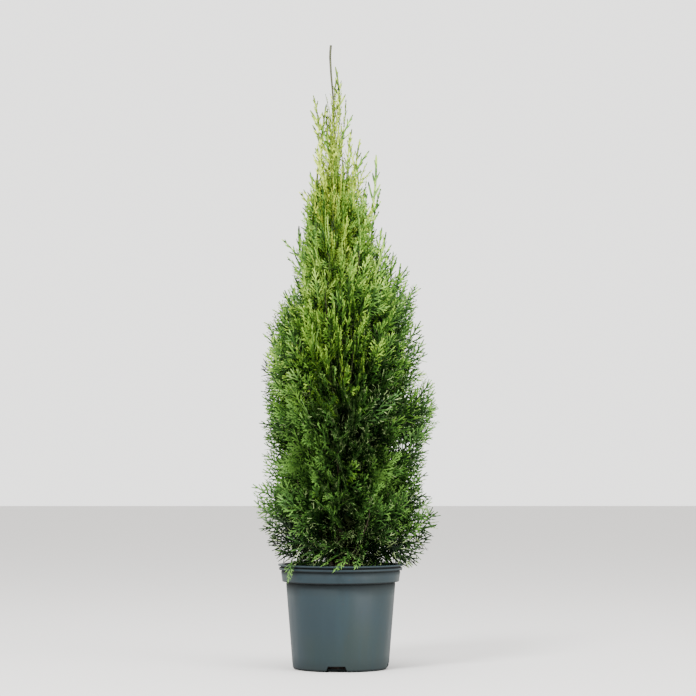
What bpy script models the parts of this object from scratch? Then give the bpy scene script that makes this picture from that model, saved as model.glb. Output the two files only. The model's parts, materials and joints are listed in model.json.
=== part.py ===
"""Potted emerald green arborvitae: a nursery pot, its growing mix, a trunk, boughs and masses of foliage.

The trunk runs up through the foliage. Boughs climb from it to the masses of the lower crown. The masses of
the upper crown, and the leader, spring straight from it. Each mass keeps to its own space, the part of the
crown that lies nearer to its heart than to any other mass's. In that space stand one stem, twigs that branch
from it by a seeded rule, flat toothed sprays on the twigs, and a smaller core that the sprays stand out of.

Metres, +Z up. The origin is on the ground, in the middle of the pot's underside. -Y is the front.
"""

import math
import random
from collections import namedtuple

import bmesh
import bpy
from mathutils import Matrix, Vector
from mathutils.bvhtree import BVHTree

SEED = 7
UP = Vector((0, 0, 1))
GOLDEN_ANGLE = math.pi * (3 - math.sqrt(5))
CLEAR = 0.0003  # left between pieces that touch on the real plant
MERGE = 0.000002
SHARP_ANGLE = math.radians(35)
STEEP = 0.9  # a way that climbs more than this counts as upright

# Pot: a tapered body, a wider collar above it, and a grooved lip round its top.
POT_HEIGHT = 0.2280
LIP_RADIUS = 0.1375
LIP_EDGE = 0.0035
GROOVE_RADIUS, GROOVE_FOOT = 0.1345, 0.2212
BEAD_RADIUS, BEAD_FOOT = 0.1356, 0.2170
COLLAR_TOP, COLLAR_TOP_RADIUS = 0.2155, 0.1310
COLLAR_FOOT, COLLAR_FOOT_RADIUS = 0.1900, 0.1283
STEP = 0.0015
BODY_TOP_RADIUS = 0.1200
BODY_FOOT_RADIUS = 0.1053
CORNER, CORNER_POINTS = 0.0060, 4
WALL = 0.0024
FLOOR = 0.0050
FOOT_RING = 0.0160  # width of the ring that the pot stands on
FOOT_DISC_RADIUS = 0.0540  # the middle of the underside, level with the ring
FOOT_RECESS = 0.0026
POT_SIDES = 36

# Drain notches in the pot's bottom edge
NOTCHES = 4
NOTCH_TURN = math.radians(-95)
NOTCH_FOOT_WIDTH, NOTCH_TOP_WIDTH = 0.0480, 0.0370
NOTCH_HEIGHT, NOTCH_DEPTH = 0.0125, 0.0150
CUTTER_BELOW, CUTTER_LENGTH = 0.0040, 0.0400

# Growing mix
MIX_TOP = 0.2030
MIX_SLOPE = 0.0040  # how much lower it lies at the wall
MIX_LEVEL_RADIUS = 0.0500

# Trunk: it leans to the left, more so towards its tip.
TREE_TOP = 1.3720
TRUNK_TOP = 1.1500
LEAN, LEAN_GATHER = -0.0210, 1.3
SWAY, SWAY_TURN = 0.0030, 9
FLARE, FLARE_HEIGHT = 0.0065, 0.0450
TRUNK_FOOT_RADIUS, TRUNK_TIP_RADIUS = 0.0150, 0.0036
TRUNK_SIDES, TRUNK_RINGS = 16, 11
RINGS_GATHER = 1.7  # above 1, the trunk's rings lie closer together in its root flare

# The crown's reach from the trunk: height, reach to the left (-X), reach to the right (+X).
CROWN_REACH = (
    (0.180, 0.118, 0.140),
    (0.240, 0.147, 0.172),
    (0.275, 0.165, 0.196),
    (0.330, 0.174, 0.213),
    (0.385, 0.189, 0.211),
    (0.440, 0.174, 0.178),
    (0.500, 0.168, 0.198),
    (0.570, 0.175, 0.219),
    (0.640, 0.172, 0.193),
    (0.730, 0.168, 0.187),
    (0.790, 0.144, 0.189),
    (0.850, 0.110, 0.180),
    (0.900, 0.098, 0.156),
    (0.950, 0.090, 0.128),
    (1.010, 0.078, 0.104),
    (1.070, 0.067, 0.080),
    (1.130, 0.050, 0.054),
    (1.190, 0.037, 0.031),
    (1.255, 0.027, 0.019),
    (1.310, 0.013, 0.013),
    (1.372, 0.004, 0.004),
)

# Shoots that lead the outline or stand out of it: degrees round the trunk, reach from it, height of the tip
LONE_SHOOTS = (
    (180, 0.191, 0.372),
    (177, 0.176, 0.305),
    (183, 0.173, 0.500),
    (179, 0.176, 0.590),
    (1, 0.214, 0.345),
    (-3, 0.202, 0.515),
    (2, 0.221, 0.575),
    (-2, 0.194, 0.660),
    (3, 0.190, 0.765),
    (0, 0.091, 1.133),
    (-15, 0.108, 1.056),
    (10, 0.124, 0.961),
    (-8, 0.190, 0.838),
    (180, 0.042, 1.255),
    (195, 0.047, 1.188),
    (172, 0.064, 1.122),
    (188, 0.079, 1.084),
    (176, 0.113, 0.945),
    (184, 0.121, 0.838),
    (178, 0.162, 0.768),
    (95, 0.088, 1.100),
    (262, 0.070, 1.150),
    (80, 0.150, 0.880),
    (250, 0.128, 0.935),
    (222, 0.152, 0.196),
    (-4, 0.172, 0.224),
    (262, 0.149, 0.216),
    (120, 0.153, 0.212),
)

# Masses wind round the trunk in a spiral, each with the same share of the crown's surface, up to the leader.
# Zones are named from the growing mix up. top: the highest heart in the zone. lift: how steeply the twigs
# climb, in degrees. boughs: whether the masses stand on boughs, or straight on the trunk.
Zone = namedtuple("Zone", "name top lift boughs colour")
ZONES = (
    Zone("skirt", 0.375, 28, True, (0.028, 0.085, 0.022)),
    Zone("lower", 0.520, 44, True, (0.032, 0.100, 0.022)),
    Zone("middle", 0.680, 52, True, (0.045, 0.130, 0.025)),
    Zone("upper", 0.860, 60, True, (0.070, 0.180, 0.030)),
    Zone("spire", 1.150, 70, False, (0.110, 0.250, 0.038)),
    Zone("leader", 1.372, 78, False, (0.160, 0.320, 0.055)),
)
FIRST_HEART, FIRST_TURN = 0.268, math.radians(-60)
MASS_AREA = 0.0305
HEART_OUT = 0.42  # how far out the hearts lie, as a share of the crown's reach
LEADER_HEART, LEADER_POINTS = 1.240, 5
SPACE_STRETCH = 0.60  # heights count this much in what is nearer, so the spaces are tall
SPACE_MARGIN = 0.0006
LIMB_MARGIN = 0.0008
RIM_MARGIN = 0.0010

# Boughs and stems. Drops and rises are from the heart, and lengths out are shares of the crown's reach.
BOUGH_FOOT_RADIUS, BOUGH_TIP_RADIUS = 0.0062, 0.0031
BOUGH_SIDES = 6
BOUGH_DROP, STEM_DROP = 0.130, 0.120
LOWEST_FORK = 0.216
ENTRY_DROP, ENTRY_OUT = 0.050, 0.24
ENTRY_CLIMB = 0.020  # from the fork to the bough's tip, at least
STEM_RISE, STEM_OUT = 0.090, 0.62
STEM_FOOT_RADIUS, STEM_TIP_RADIUS = 0.0030, 0.0010
STEM_SIDES = 4
FOOT_RUN = 0.0050  # the straight start of a bough or stem
CURVE_PIECES = 3

# Twigs and sprays
SPRAY_SPACING = 1.04  # between the tips of twigs, as a share of a spray's length
SPRAY_BASE, SPRAY_GAIN = 0.046, 0.400  # length of a spray, and its gain with the crown's reach
SPRAY_SIZES = (0.88, 1.12)
SPRAY_ROOT = 0.0120
SIDE_SPRAY_SHARE, SIDE_SPRAY_ANGLE = 0.74, math.radians(38)
SIDE_SPRAY_PLACES = (0.45, 0.70)  # along the twig
SIDE_SPRAY_ROOM = 0.0220  # the shortest twig that has a side spray
SPRAY_TEETH, SIDE_SPRAY_TEETH = 2, 1
TWIG_FOOT_RADIUS, TWIG_TIP_RADIUS = 0.0024, 0.0016
TWIG_SIDES = 3
TIP_SCATTER = 0.13  # how far some tips stay short of the crown's reach
TOP_TIP = 0.0300  # how far below the tree's top the highest twig ends
DROOP_HEIGHT = 0.2560  # sprays whose tips are lower than this hang from a knee at this height
KNEE_BACK = 0.10  # how far the knee lies back from the tip towards the twig's root
ROLLS = tuple(math.radians(angle) for angle in (50, -50, 25, -25, 0))  # about the rib, tried in this order
# How much a twig keeps of its reach, and its spray of its length and width, tried in this order
Fitting = namedtuple("Fitting", "reach length width")
FITTINGS = (
    Fitting(1.0, 1.0, 1.0),
    Fitting(1.0, 0.8, 1.0),
    Fitting(1.0, 0.9, 0.6),
    Fitting(0.94, 0.9, 1.0),
    Fitting(1.0, 0.65, 0.6),
    Fitting(0.88, 0.8, 0.8),
    Fitting(0.80, 0.7, 0.8),
    Fitting(0.70, 0.6, 0.8),
)
ROOT_PLACES = (0, 0.25, 0.5, 0.75)  # along each stretch of the stem
ROOTS_TRIED = 4
STEM_SPRAYS = (0.9, 0.7, 0.5)  # sizes of the spray on a stem's tip, tried in this order

# Outline of a spray, as shares of its length. Widths and thickness are halves that shrink tooth by tooth.
POINT_WIDTH, POINT_TAPER, POINT_START = 0.31, 0.28, 0.52
CLEFT_WIDTH, CLEFT_TAPER, CLEFT_START = 0.07, 0.02, 0.45
RIB_THICK, RIB_TAPER, RIB_START = 0.014, 0.30, 0.28
TEETH_RUN = 0.60

# Cores
CORE_OUT = 0.78  # how far out cores reach, as a share of the crown's reach
CORE_POINTS, CORE_CLEFTS = 0.96, (0.58, 0.80)  # how much of the room round the heart they fill
CORE_STEP = 0.0040
CORE_YIELD = 0.12  # how far a corner that touches a limb draws back, at each try
CORE_TRIES = 24

Mass = namedtuple("Mass", "name zone heart bough stem")


def clear_scene():
    for obj in list(bpy.data.objects):
        bpy.data.objects.remove(obj)


def material(name, colour, roughness):
    made = bpy.data.materials.get(name) or bpy.data.materials.new(name)
    made.use_nodes = True
    shader = made.node_tree.nodes["Principled BSDF"]
    shader.inputs["Base Color"].default_value = (*colour, 1)
    shader.inputs["Roughness"].default_value = roughness
    shader.inputs["Metallic"].default_value = 0
    return made


def pot_plastic():
    return material("pot_plastic", (0.085, 0.125, 0.135), 0.45)


def growing_mix():
    return material("growing_mix", (0.035, 0.024, 0.018), 0.95)


def bark():
    return material("bark", (0.165, 0.105, 0.070), 0.85)


def foliage(zone):
    return material(f"{zone.name}_foliage", zone.colour, 0.60)


def add_object(bm, name, finish, smooth=False):
    mesh = bpy.data.meshes.new(name)
    bm.to_mesh(mesh)
    bm.free()
    mesh.materials.append(finish)
    if smooth:
        mesh.shade_smooth()
        mesh.set_sharp_from_angle(angle=SHARP_ANGLE)
    obj = bpy.data.objects.new(name, mesh)
    bpy.context.scene.collection.objects.link(obj)
    return obj


# The crown's shape, and where its masses lie


def blend(low, high, share):
    return low + (high - low) * share


def evenly(first, last, count):
    return [blend(first, last, k / (count - 1)) for k in range(count)]


def outward(azimuth):
    return Vector((math.cos(azimuth), math.sin(azimuth), 0))


def trunk_axis(height):
    climb = max(0.0, (height - MIX_TOP) / (TREE_TOP - MIX_TOP))
    sway = SWAY * math.sin(climb * SWAY_TURN)
    return Vector((LEAN * climb**LEAN_GATHER + sway / 2, sway, height))


def trunk_radius(height):
    climb = (height - MIX_TOP) / (TRUNK_TOP - MIX_TOP)
    flare = FLARE * max(0.0, 1 - (height - MIX_TOP) / FLARE_HEIGHT) ** 2
    return blend(TRUNK_FOOT_RADIUS, TRUNK_TIP_RADIUS, min(max(climb, 0), 1)) + flare


def trunk_heights():
    return [blend(MIX_TOP + CLEAR, TRUNK_TOP, share**RINGS_GATHER) for share in evenly(0, 1, TRUNK_RINGS)]


def trunk_side(height, way):
    """The place on the trunk's faceted side at a height."""
    heights = trunk_heights()
    for low, high in zip(heights, heights[1:]):
        if low <= height <= high:
            foot, head = (trunk_axis(level) + way * trunk_radius(level) for level in (low, high))
            return foot.lerp(head, (height - low) / (high - low))
    raise ValueError(f"the trunk has no side at {height}")


def foot_on_trunk(height, way, radius):
    """The middle of a limb's flat foot, clear of the trunk at the foot's lower and upper edge."""
    edges = (trunk_side(height - radius, way), trunk_side(height + radius, way))
    touch = max(edges, key=lambda edge: edge.dot(way))
    return Vector((touch.x, touch.y, height)) + way * CLEAR


def crown_reach(azimuth, height):
    """How far the crown reaches from the trunk: its left and right reach, blended round the sides."""
    for (low, low_left, low_right), (high, high_left, high_right) in zip(CROWN_REACH, CROWN_REACH[1:]):
        if low <= height <= high:
            share = (height - low) / (high - low)
            left, right = blend(low_left, high_left, share), blend(low_right, high_right, share)
            return blend(left, right, (1 + math.cos(azimuth)) / 2)
    return 0.0


def curve_through(start, start_way, end, end_way):
    """Points along a smooth curve, after its start, that leaves and arrives by the two ways."""
    points = []
    for s in evenly(0, 1, CURVE_PIECES + 1)[1:]:
        early, late = 2 * s**3 - 3 * s**2 + 1, 3 * s**2 - 2 * s**3
        leaving, arriving = s**3 - 2 * s**2 + s, s**3 - s**2
        points.append(start * early + end * late + start_way * leaving + end_way * arriving)
    return points


def zone_at(height):
    return next(zone for zone in ZONES if height <= zone.top)


def lay_out_leader():
    foot = trunk_axis(TRUNK_TOP) + UP * CLEAR
    climb = [trunk_axis(height) for height in evenly(TRUNK_TOP, TREE_TOP, LEADER_POINTS)[1:]]
    stem = [foot, foot + UP * FOOT_RUN, *climb]
    return Mass("leader_foliage", zone_at(LEADER_HEART), trunk_axis(LEADER_HEART), [], stem)


def lay_out_mass(name, azimuth, height):
    """Heart, bough and stem of one mass that stands beside the trunk."""
    zone = zone_at(height)
    way = outward(azimuth)

    def place(level, share):
        return trunk_axis(level) + way * crown_reach(azimuth, level) * share

    fork = max(height - (BOUGH_DROP if zone.boughs else STEM_DROP), LOWEST_FORK)
    foot = foot_on_trunk(fork, way, BOUGH_FOOT_RADIUS if zone.boughs else STEM_FOOT_RADIUS)
    top = place(height + STEM_RISE, STEM_OUT)
    bough, stem_way = [], way
    if zone.boughs:
        start = foot + way * FOOT_RUN
        entry = place(max(height - ENTRY_DROP, fork + ENTRY_CLIMB), ENTRY_OUT)
        run = (entry - start).length
        bough = [foot, start, *curve_through(start, way * run, entry, (top - entry).normalized() * run)]
        stem_way = (bough[-1] - bough[-2]).normalized()
        foot = entry + stem_way * CLEAR
    start = foot + stem_way * FOOT_RUN
    run = (top - start).length
    stem = [foot, start, *curve_through(start, stem_way * run, top, UP * run)]
    return Mass(name, zone, place(height, HEART_OUT), bough, stem)


def lay_out_crown():
    """All masses, along a spiral from the lowest to the last one below the leader, and the leader."""
    masses = []
    height, azimuth = FIRST_HEART, FIRST_TURN
    number = {zone.name: 0 for zone in ZONES}
    while zone_at(height).name != "leader":
        zone = zone_at(height).name
        number[zone] += 1
        masses.append(lay_out_mass(f"{zone}_foliage_{number[zone]}", azimuth, height))
        height += MASS_AREA / (2 * math.pi * crown_reach(math.pi / 2, height))
        azimuth += GOLDEN_ANGLE
    return [*masses, lay_out_leader()]


def stretched(away):
    return Vector((away.x, away.y, away.z * SPACE_STRETCH))


def nearest_mass(point, masses):
    return min(masses, key=lambda mass: stretched(point - mass.heart).length)


def in_space(point, mass, masses):
    """True where a point is nearer to the mass's heart than to any other, by the margin."""
    own = stretched(point - mass.heart).length_squared
    for other in masses:
        if other is not mass:
            lead = stretched(point - other.heart).length_squared - own
            if lead < 2 * SPACE_MARGIN * stretched(other.heart - mass.heart).length:
                return False
    return True


def in_crown(point, share):
    away = point - trunk_axis(point.z)
    return math.hypot(away.x, away.y) < crown_reach(math.atan2(away.y, away.x), point.z) * share


def spray_length(reach):
    return SPRAY_BASE + SPRAY_GAIN * reach


def twig_tips(rng):
    """Where the twigs' sprays end: a spiral round the crown, evenly spread, and the lone shoots."""
    tips = []
    height, azimuth = CROWN_REACH[1][0], 0.0
    while height < TREE_TOP - TOP_TIP:
        reach = crown_reach(azimuth, height)
        out = reach * (1 - TIP_SCATTER * rng.random() ** 2)
        tips.append(trunk_axis(height) + outward(azimuth) * out)
        azimuth += GOLDEN_ANGLE
        height += (spray_length(reach) * SPRAY_SPACING) ** 2 / (2 * math.pi * reach)
    for degrees, reach, height in LONE_SHOOTS:
        tips.append(trunk_axis(height) + outward(math.radians(degrees)) * reach)
    return tips


# Solids


def turned(profile, sides):
    """A closed profile of (radius, height) points, turned once round the Z axis."""
    bm = bmesh.new()
    points = [bm.verts.new((radius, 0, height)) for radius, height in profile]
    pairs = zip(points, points[1:] + points[:1])
    edges = [bm.edges.new(pair) for pair in pairs if pair[0].co.x or pair[1].co.x]
    turn = 2 * math.pi
    bmesh.ops.spin(bm, geom=points + edges, axis=UP, cent=(0, 0, 0), angle=turn, steps=sides, use_merge=True)
    bmesh.ops.remove_doubles(bm, verts=bm.verts, dist=MERGE)
    bmesh.ops.recalc_face_normals(bm, faces=bm.faces)
    return bm


def tube(points, radii, sides, upright=False):
    """A closed, tapering tube. Its ends are flat and square to it or, on an upright one, level."""
    bm = bmesh.new()
    ways = [(after - before).normalized() for before, after in zip(points, points[1:])]
    ways = [ways[0], *[(a + b).normalized() for a, b in zip(ways, ways[1:])], ways[-1]]
    side = UP.cross(ways[0]) if abs(ways[0].z) < STEEP else Vector((1, 0, 0))
    rings = []
    for point, radius, way in zip(points, radii, ways):
        way = UP if upright else way
        side = (side - way * side.dot(way)).normalized()
        turns = [Matrix.Rotation(2 * math.pi * k / sides, 3, way) for k in range(sides)]
        rings.append([bm.verts.new(point + turn @ side * radius) for turn in turns])
    for low, high in zip(rings, rings[1:]):
        for k in range(sides):
            after = (k + 1) % sides
            bm.faces.new((low[k], low[after], high[after], high[k]))
    bm.faces.new(rings[0][::-1])
    bm.faces.new(rings[-1])
    return bm


def trunk_tube(margin=0.0):
    heights = trunk_heights()
    radii = [trunk_radius(height) + margin for height in heights]
    return tube([trunk_axis(height) for height in heights], radii, TRUNK_SIDES, upright=True)


def bough_tube(mass, margin=0.0):
    radii = evenly(BOUGH_FOOT_RADIUS + margin, BOUGH_TIP_RADIUS + margin, len(mass.bough))
    return tube(mass.bough, radii, BOUGH_SIDES)


def stem_tube(mass, margin=0.0):
    radii = evenly(STEM_FOOT_RADIUS + margin, STEM_TIP_RADIUS + margin, len(mass.stem))
    return tube(mass.stem, radii, STEM_SIDES)


def spray(base, way, side, length, width, teeth):
    """One flat spray: forward-pointing teeth on both sides of a rib, which is thick, and sharp edges."""
    face = way.cross(side)
    bm = bmesh.new()

    def corner(across, along, proud=0.0):
        return bm.verts.new(base + (side * across + way * along + face * proud) * length)

    root, end = corner(0, 0), corner(0, 1)
    steps = [TEETH_RUN * k / teeth for k in range(teeth)]
    thick = [RIB_THICK * (1 - RIB_TAPER * k) for k in range(teeth)]
    wide = [POINT_WIDTH * (1 - POINT_TAPER * k) * width for k in range(teeth)]
    narrow = [CLEFT_WIDTH - CLEFT_TAPER * k for k in range(teeth)]
    ribs = [[corner(0, RIB_START + step, proud * up) for step, proud in zip(steps, thick)] for up in (1, -1)]
    for hand in (1, -1):
        points = [corner(hand * out, POINT_START + step) for out, step in zip(wide, steps)]
        clefts = [corner(hand * out, CLEFT_START + step) for out, step in zip(narrow, steps)]
        for rib, turn in zip(ribs, (-hand, hand)):
            faces = [(clefts[-1], end, rib[-1])]
            for k in range(teeth):
                faces += [(clefts[k - 1] if k else root, points[k], rib[k]), (points[k], clefts[k], rib[k])]
                if k:
                    faces.append((clefts[k - 1], rib[k], rib[k - 1]))
            for face_corners in faces:
                bm.faces.new(face_corners[::turn])
    return bm


def merged(meshes):
    """One mesh of several, which are freed."""
    whole = bmesh.new()
    for bm in meshes:
        places = {vertex: whole.verts.new(vertex.co) for vertex in bm.verts}
        for face in bm.faces:
            whole.faces.new([places[vertex] for vertex in face.verts])
        bm.free()
    return whole


# Growth of one mass


def guard_round(mass, masses):
    """What a mass has to stay clear of, each a little larger than it is: limbs, other stems, pot and mix."""
    top, level = POT_HEIGHT + RIM_MARGIN, MIX_TOP + RIM_MARGIN
    outside, inside = LIP_RADIUS + RIM_MARGIN, COLLAR_TOP_RADIUS - WALL - RIM_MARGIN
    brim = ((outside, 0), (outside, top), (inside, top), (inside, level), (0, level))
    solids = [trunk_tube(LIMB_MARGIN), turned(brim, POT_SIDES)]
    solids += [bough_tube(other, LIMB_MARGIN) for other in masses if other.bough]
    solids += [stem_tube(other, LIMB_MARGIN) for other in masses if other is not mass]
    whole = merged(solids)
    guard = BVHTree.FromBMesh(whole)
    whole.free()
    return guard


def core(mass, masses, guard):
    """The dense middle of a mass: a ball of blunt points and clefts that fills its room round the heart."""
    rng = random.Random(mass.name)
    bm = bmesh.new()
    bmesh.ops.create_icosphere(bm, subdivisions=2, radius=1)
    for vertex in bm.verts:
        way = vertex.co.normalized() * CORE_STEP
        point = mass.heart + way
        while in_space(point + way, mass, masses) and in_crown(point + way, CORE_OUT):
            point += way
        fill = CORE_POINTS if len(vertex.link_edges) == 5 else rng.uniform(*CORE_CLEFTS)
        vertex.co = mass.heart.lerp(point, fill)
    for _ in range(CORE_TRIES):
        touching = {pair[0] for pair in BVHTree.FromBMesh(bm).overlap(guard)}
        if not touching:
            return bm
        bm.faces.ensure_lookup_table()
        for vertex in {vertex for index in touching for vertex in bm.faces[index].verts}:
            vertex.co = vertex.co.lerp(mass.heart, CORE_YIELD)
    raise ValueError(f"{mass.name} has no room for its core")


def across_spray(way, near):
    """The way across a spray that lies in the upright plane through the trunk."""
    return UP.cross(near - trunk_axis(near.z)).cross(way).normalized()


class Growth:
    """The pieces of one mass, as they are added, and the space that they stay in."""

    def __init__(self, mass, masses):
        self.mass = mass
        self.masses = masses
        self.guard = guard_round(mass, masses)
        self.pieces = [stem_tube(mass)]
        self.sprays = []
        if mass.zone.name != "leader":
            self.add_core()
            self.grow_stem_spray()

    def add_core(self):
        """The mass's core, if its stem runs into it."""
        middle = core(self.mass, self.masses, self.guard)
        if BVHTree.FromBMesh(middle).overlap(BVHTree.FromBMesh(self.pieces[0])):
            self.pieces.append(middle)
        else:
            middle.free()

    def grow_stem_spray(self):
        before, end = self.mass.stem[-2:]
        way = (end - before).normalized()
        full = spray_length((end - trunk_axis(end.z)).length)
        for size in STEM_SPRAYS:
            if self.add_spray(end - way * SPRAY_ROOT, way, full * size, size, SPRAY_TEETH, 1):
                return

    def in_bounds(self, bm):
        inside = all(in_space(vertex.co, self.mass, self.masses) for vertex in bm.verts)
        return inside and not BVHTree.FromBMesh(bm).overlap(self.guard)

    def add_spray(self, base, way, length, width, teeth, hand, carrier=()):
        """A spray, and the twig that carries it, in the first roll about its rib in which it has room."""
        for roll in ROLLS:
            side = Matrix.Rotation(hand * roll, 3, way) @ across_spray(way, base)
            blade = spray(base, way, side, length, width, teeth)
            outline = BVHTree.FromBMesh(blade)
            group = [blade]
            if carrier:
                group.append(tube(carrier, (TWIG_FOOT_RADIUS, TWIG_TIP_RADIUS), TWIG_SIDES))
            free = not any(outline.overlap(other) for other in self.sprays)
            if free and all(self.in_bounds(bm) for bm in group):
                self.pieces += group
                self.sprays.append(outline)
                return True
            for bm in group:
                bm.free()
        return False

    def roots_for(self, tip):
        """Places on the stem, those first from which a twig to the tip climbs most nearly at the lift."""
        climb = math.sin(math.radians(self.mass.zone.lift))
        places = [low.lerp(high, share) for low, high in zip(self.mass.stem[1:], self.mass.stem[2:])
                  for share in ROOT_PLACES]
        inside = [place for place in places if in_space(place, self.mass, self.masses)]
        return sorted(inside, key=lambda place: abs((tip - place).normalized().z - climb))[:ROOTS_TRIED]

    def grow_twig(self, tip, rng):
        """A twig with a spray at its end, as long as its space allows, and a smaller spray on its side."""
        length = spray_length((tip - trunk_axis(tip.z)).length) * rng.uniform(*SPRAY_SIZES)
        turn = rng.choice((1, -1))
        place = rng.uniform(*SIDE_SPRAY_PLACES)
        for fitting in FITTINGS:
            for root in self.roots_for(tip):
                end = root.lerp(tip, fitting.reach)
                start = root
                if tip.z < DROOP_HEIGHT:
                    start = end.lerp(root, KNEE_BACK)
                    start.z = DROOP_HEIGHT
                way = (end - start).normalized()
                size = min(length * fitting.length, (end - start).length)
                base = end - way * size
                carrier = (root, base + way * SPRAY_ROOT) if (base - root).length > SPRAY_ROOT else ()
                if self.add_spray(base, way, size, fitting.width, SPRAY_TEETH, turn, carrier):
                    if (base - root).length > SIDE_SPRAY_ROOM:
                        self.grow_side_spray(root.lerp(base, place), (base - root).normalized(), size, turn)
                    return

    def grow_side_spray(self, start, twig_way, size, turn):
        face = twig_way.cross(across_spray(twig_way, start))
        for hand in (turn, -turn):
            way = Matrix.Rotation(hand * SIDE_SPRAY_ANGLE, 3, face) @ twig_way
            if self.add_spray(start, way, size * SIDE_SPRAY_SHARE, 1, SIDE_SPRAY_TEETH, -turn):
                return


# Joining the pieces of a mass


def union(pieces, name, solver):
    """The pieces joined by one Boolean union on their collection, which is applied."""
    objects = [add_object(bm.copy(), f"{name}_piece", bark()) for bm in pieces]
    others = bpy.data.collections.new(f"{name}_pieces")
    for obj in objects[1:]:
        others.objects.link(obj)
    join = objects[0].modifiers.new("join", "BOOLEAN")
    join.operation, join.operand_type = "UNION", "COLLECTION"
    join.collection, join.solver = others, solver
    whole = bmesh.new()
    whole.from_object(objects[0], bpy.context.evaluated_depsgraph_get())
    for obj in objects:
        bpy.data.objects.remove(obj)
    bpy.data.collections.remove(others)
    return whole


def bodies_of(bm):
    """The faces of each connected body."""
    left, bodies = set(bm.faces), []
    while left:
        body, edge_of_body = set(), [left.pop()]
        while edge_of_body:
            face = edge_of_body.pop()
            body.add(face)
            near = {other for edge in face.edges for other in edge.link_faces} & left
            left -= near
            edge_of_body += near
        bodies.append(body)
    return bodies


def volume(triangles):
    return sum(a.co.dot(b.co.cross(c.co)) for a, b, c in (face.verts for face in triangles)) / 6


def fused(pieces, name):
    """One closed body of the pieces. Loose scraps and sealed hollows go. A failure costs the last piece."""
    for solver in ("EXACT", "MANIFOLD"):
        bm = union(pieces, name, solver)
        bmesh.ops.remove_doubles(bm, verts=bm.verts, dist=MERGE)
        bmesh.ops.dissolve_degenerate(bm, edges=bm.edges, dist=MERGE)
        bmesh.ops.triangulate(bm, faces=bm.faces)
        spare = sorted(bodies_of(bm), key=volume)[:-1]
        bmesh.ops.delete(bm, geom=[face for body in spare for face in body], context="FACES")
        if all(edge.is_manifold for edge in bm.edges):
            return bm
        bm.free()
    return fused(pieces[:-1], name)


# The named parts


def body_radius(height):
    return blend(BODY_FOOT_RADIUS, BODY_TOP_RADIUS, height / COLLAR_FOOT)


def inside_of_pot(gap=0.0):
    """The inner side of the pot's wall, from the floor to the collar's foot, drawn in by a gap."""
    inset = WALL + gap
    return [
        (body_radius(FLOOR) - inset, FLOOR + gap),
        (BODY_TOP_RADIUS - inset, COLLAR_FOOT + gap),
        (COLLAR_FOOT_RADIUS - inset, COLLAR_FOOT + STEP + gap),
    ]


def build_pot():
    corner_turns = evenly(0, math.pi / 2, CORNER_POINTS)
    corner_foot = body_radius(CORNER) - CORNER
    corner = [(corner_foot + CORNER * math.cos(turn), CORNER * (1 - math.sin(turn))) for turn in corner_turns]
    ring_inside = corner_foot - FOOT_RING
    outside = [
        (LIP_RADIUS, POT_HEIGHT),
        (LIP_RADIUS, POT_HEIGHT - LIP_EDGE),
        (GROOVE_RADIUS, POT_HEIGHT - LIP_EDGE),
        (GROOVE_RADIUS, GROOVE_FOOT),
        (BEAD_RADIUS, GROOVE_FOOT),
        (BEAD_RADIUS, BEAD_FOOT),
        (COLLAR_TOP_RADIUS, COLLAR_TOP),
        (COLLAR_FOOT_RADIUS, COLLAR_FOOT),
        (BODY_TOP_RADIUS, COLLAR_FOOT - STEP),
        *corner,
        (ring_inside, 0),
        (ring_inside - FOOT_RECESS, FOOT_RECESS),
        (FOOT_DISC_RADIUS + FOOT_RECESS, FOOT_RECESS),
        (FOOT_DISC_RADIUS, 0),
        (0, 0),
    ]
    inside = [(0, FLOOR), *inside_of_pot(), (COLLAR_TOP_RADIUS - WALL, POT_HEIGHT)]
    pot = add_object(turned(outside + inside, POT_SIDES), "pot", pot_plastic(), smooth=True)
    for number in range(NOTCHES):
        cut = pot.modifiers.new(f"notch_{number + 1}", "BOOLEAN")
        cut.operation, cut.object = "DIFFERENCE", notch_cutter(number, corner_foot)


def notch_cutter(number, foot_radius):
    """A block with a trapezoid face, which is taken out of the pot's bottom edge."""
    widening = (NOTCH_FOOT_WIDTH - NOTCH_TOP_WIDTH) / NOTCH_HEIGHT * CUTTER_BELOW
    low, high = (NOTCH_FOOT_WIDTH + widening) / 2, NOTCH_TOP_WIDTH / 2
    corners = ((low, -CUTTER_BELOW), (high, NOTCH_HEIGHT), (-high, NOTCH_HEIGHT), (-low, -CUTTER_BELOW))
    bm = bmesh.new()
    face = bm.faces.new([bm.verts.new((foot_radius - NOTCH_DEPTH, y, z)) for y, z in corners])
    pushed = bmesh.ops.extrude_face_region(bm, geom=[face])["geom"]
    moved = [item for item in pushed if isinstance(item, bmesh.types.BMVert)]
    bmesh.ops.translate(bm, verts=moved, vec=(CUTTER_LENGTH, 0, 0))
    bmesh.ops.recalc_face_normals(bm, faces=bm.faces)
    bm.transform(Matrix.Rotation(NOTCH_TURN + number * 2 * math.pi / NOTCHES, 4, "Z"))
    cutter = add_object(bm, f"notch_cutter_{number + 1}", pot_plastic())
    cutter.hide_render = True
    cutter.display_type = "WIRE"
    return cutter


def build_mix():
    """The growing mix fills the pot. It lies level round the trunk, and a little lower at the wall."""
    surface = [(0, MIX_TOP), (MIX_LEVEL_RADIUS, MIX_TOP)]
    edge = (COLLAR_FOOT_RADIUS - WALL - CLEAR, MIX_TOP - MIX_SLOPE)
    profile = [*surface, edge, *reversed(inside_of_pot(CLEAR)), (0, FLOOR + CLEAR)]
    add_object(turned(profile, POT_SIDES), "growing_mix", growing_mix(), smooth=True)


def build_limbs(masses):
    add_object(trunk_tube(), "trunk", bark(), smooth=True)
    for mass in masses:
        if mass.bough:
            add_object(bough_tube(mass), mass.name.replace("foliage", "bough"), bark(), smooth=True)


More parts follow.
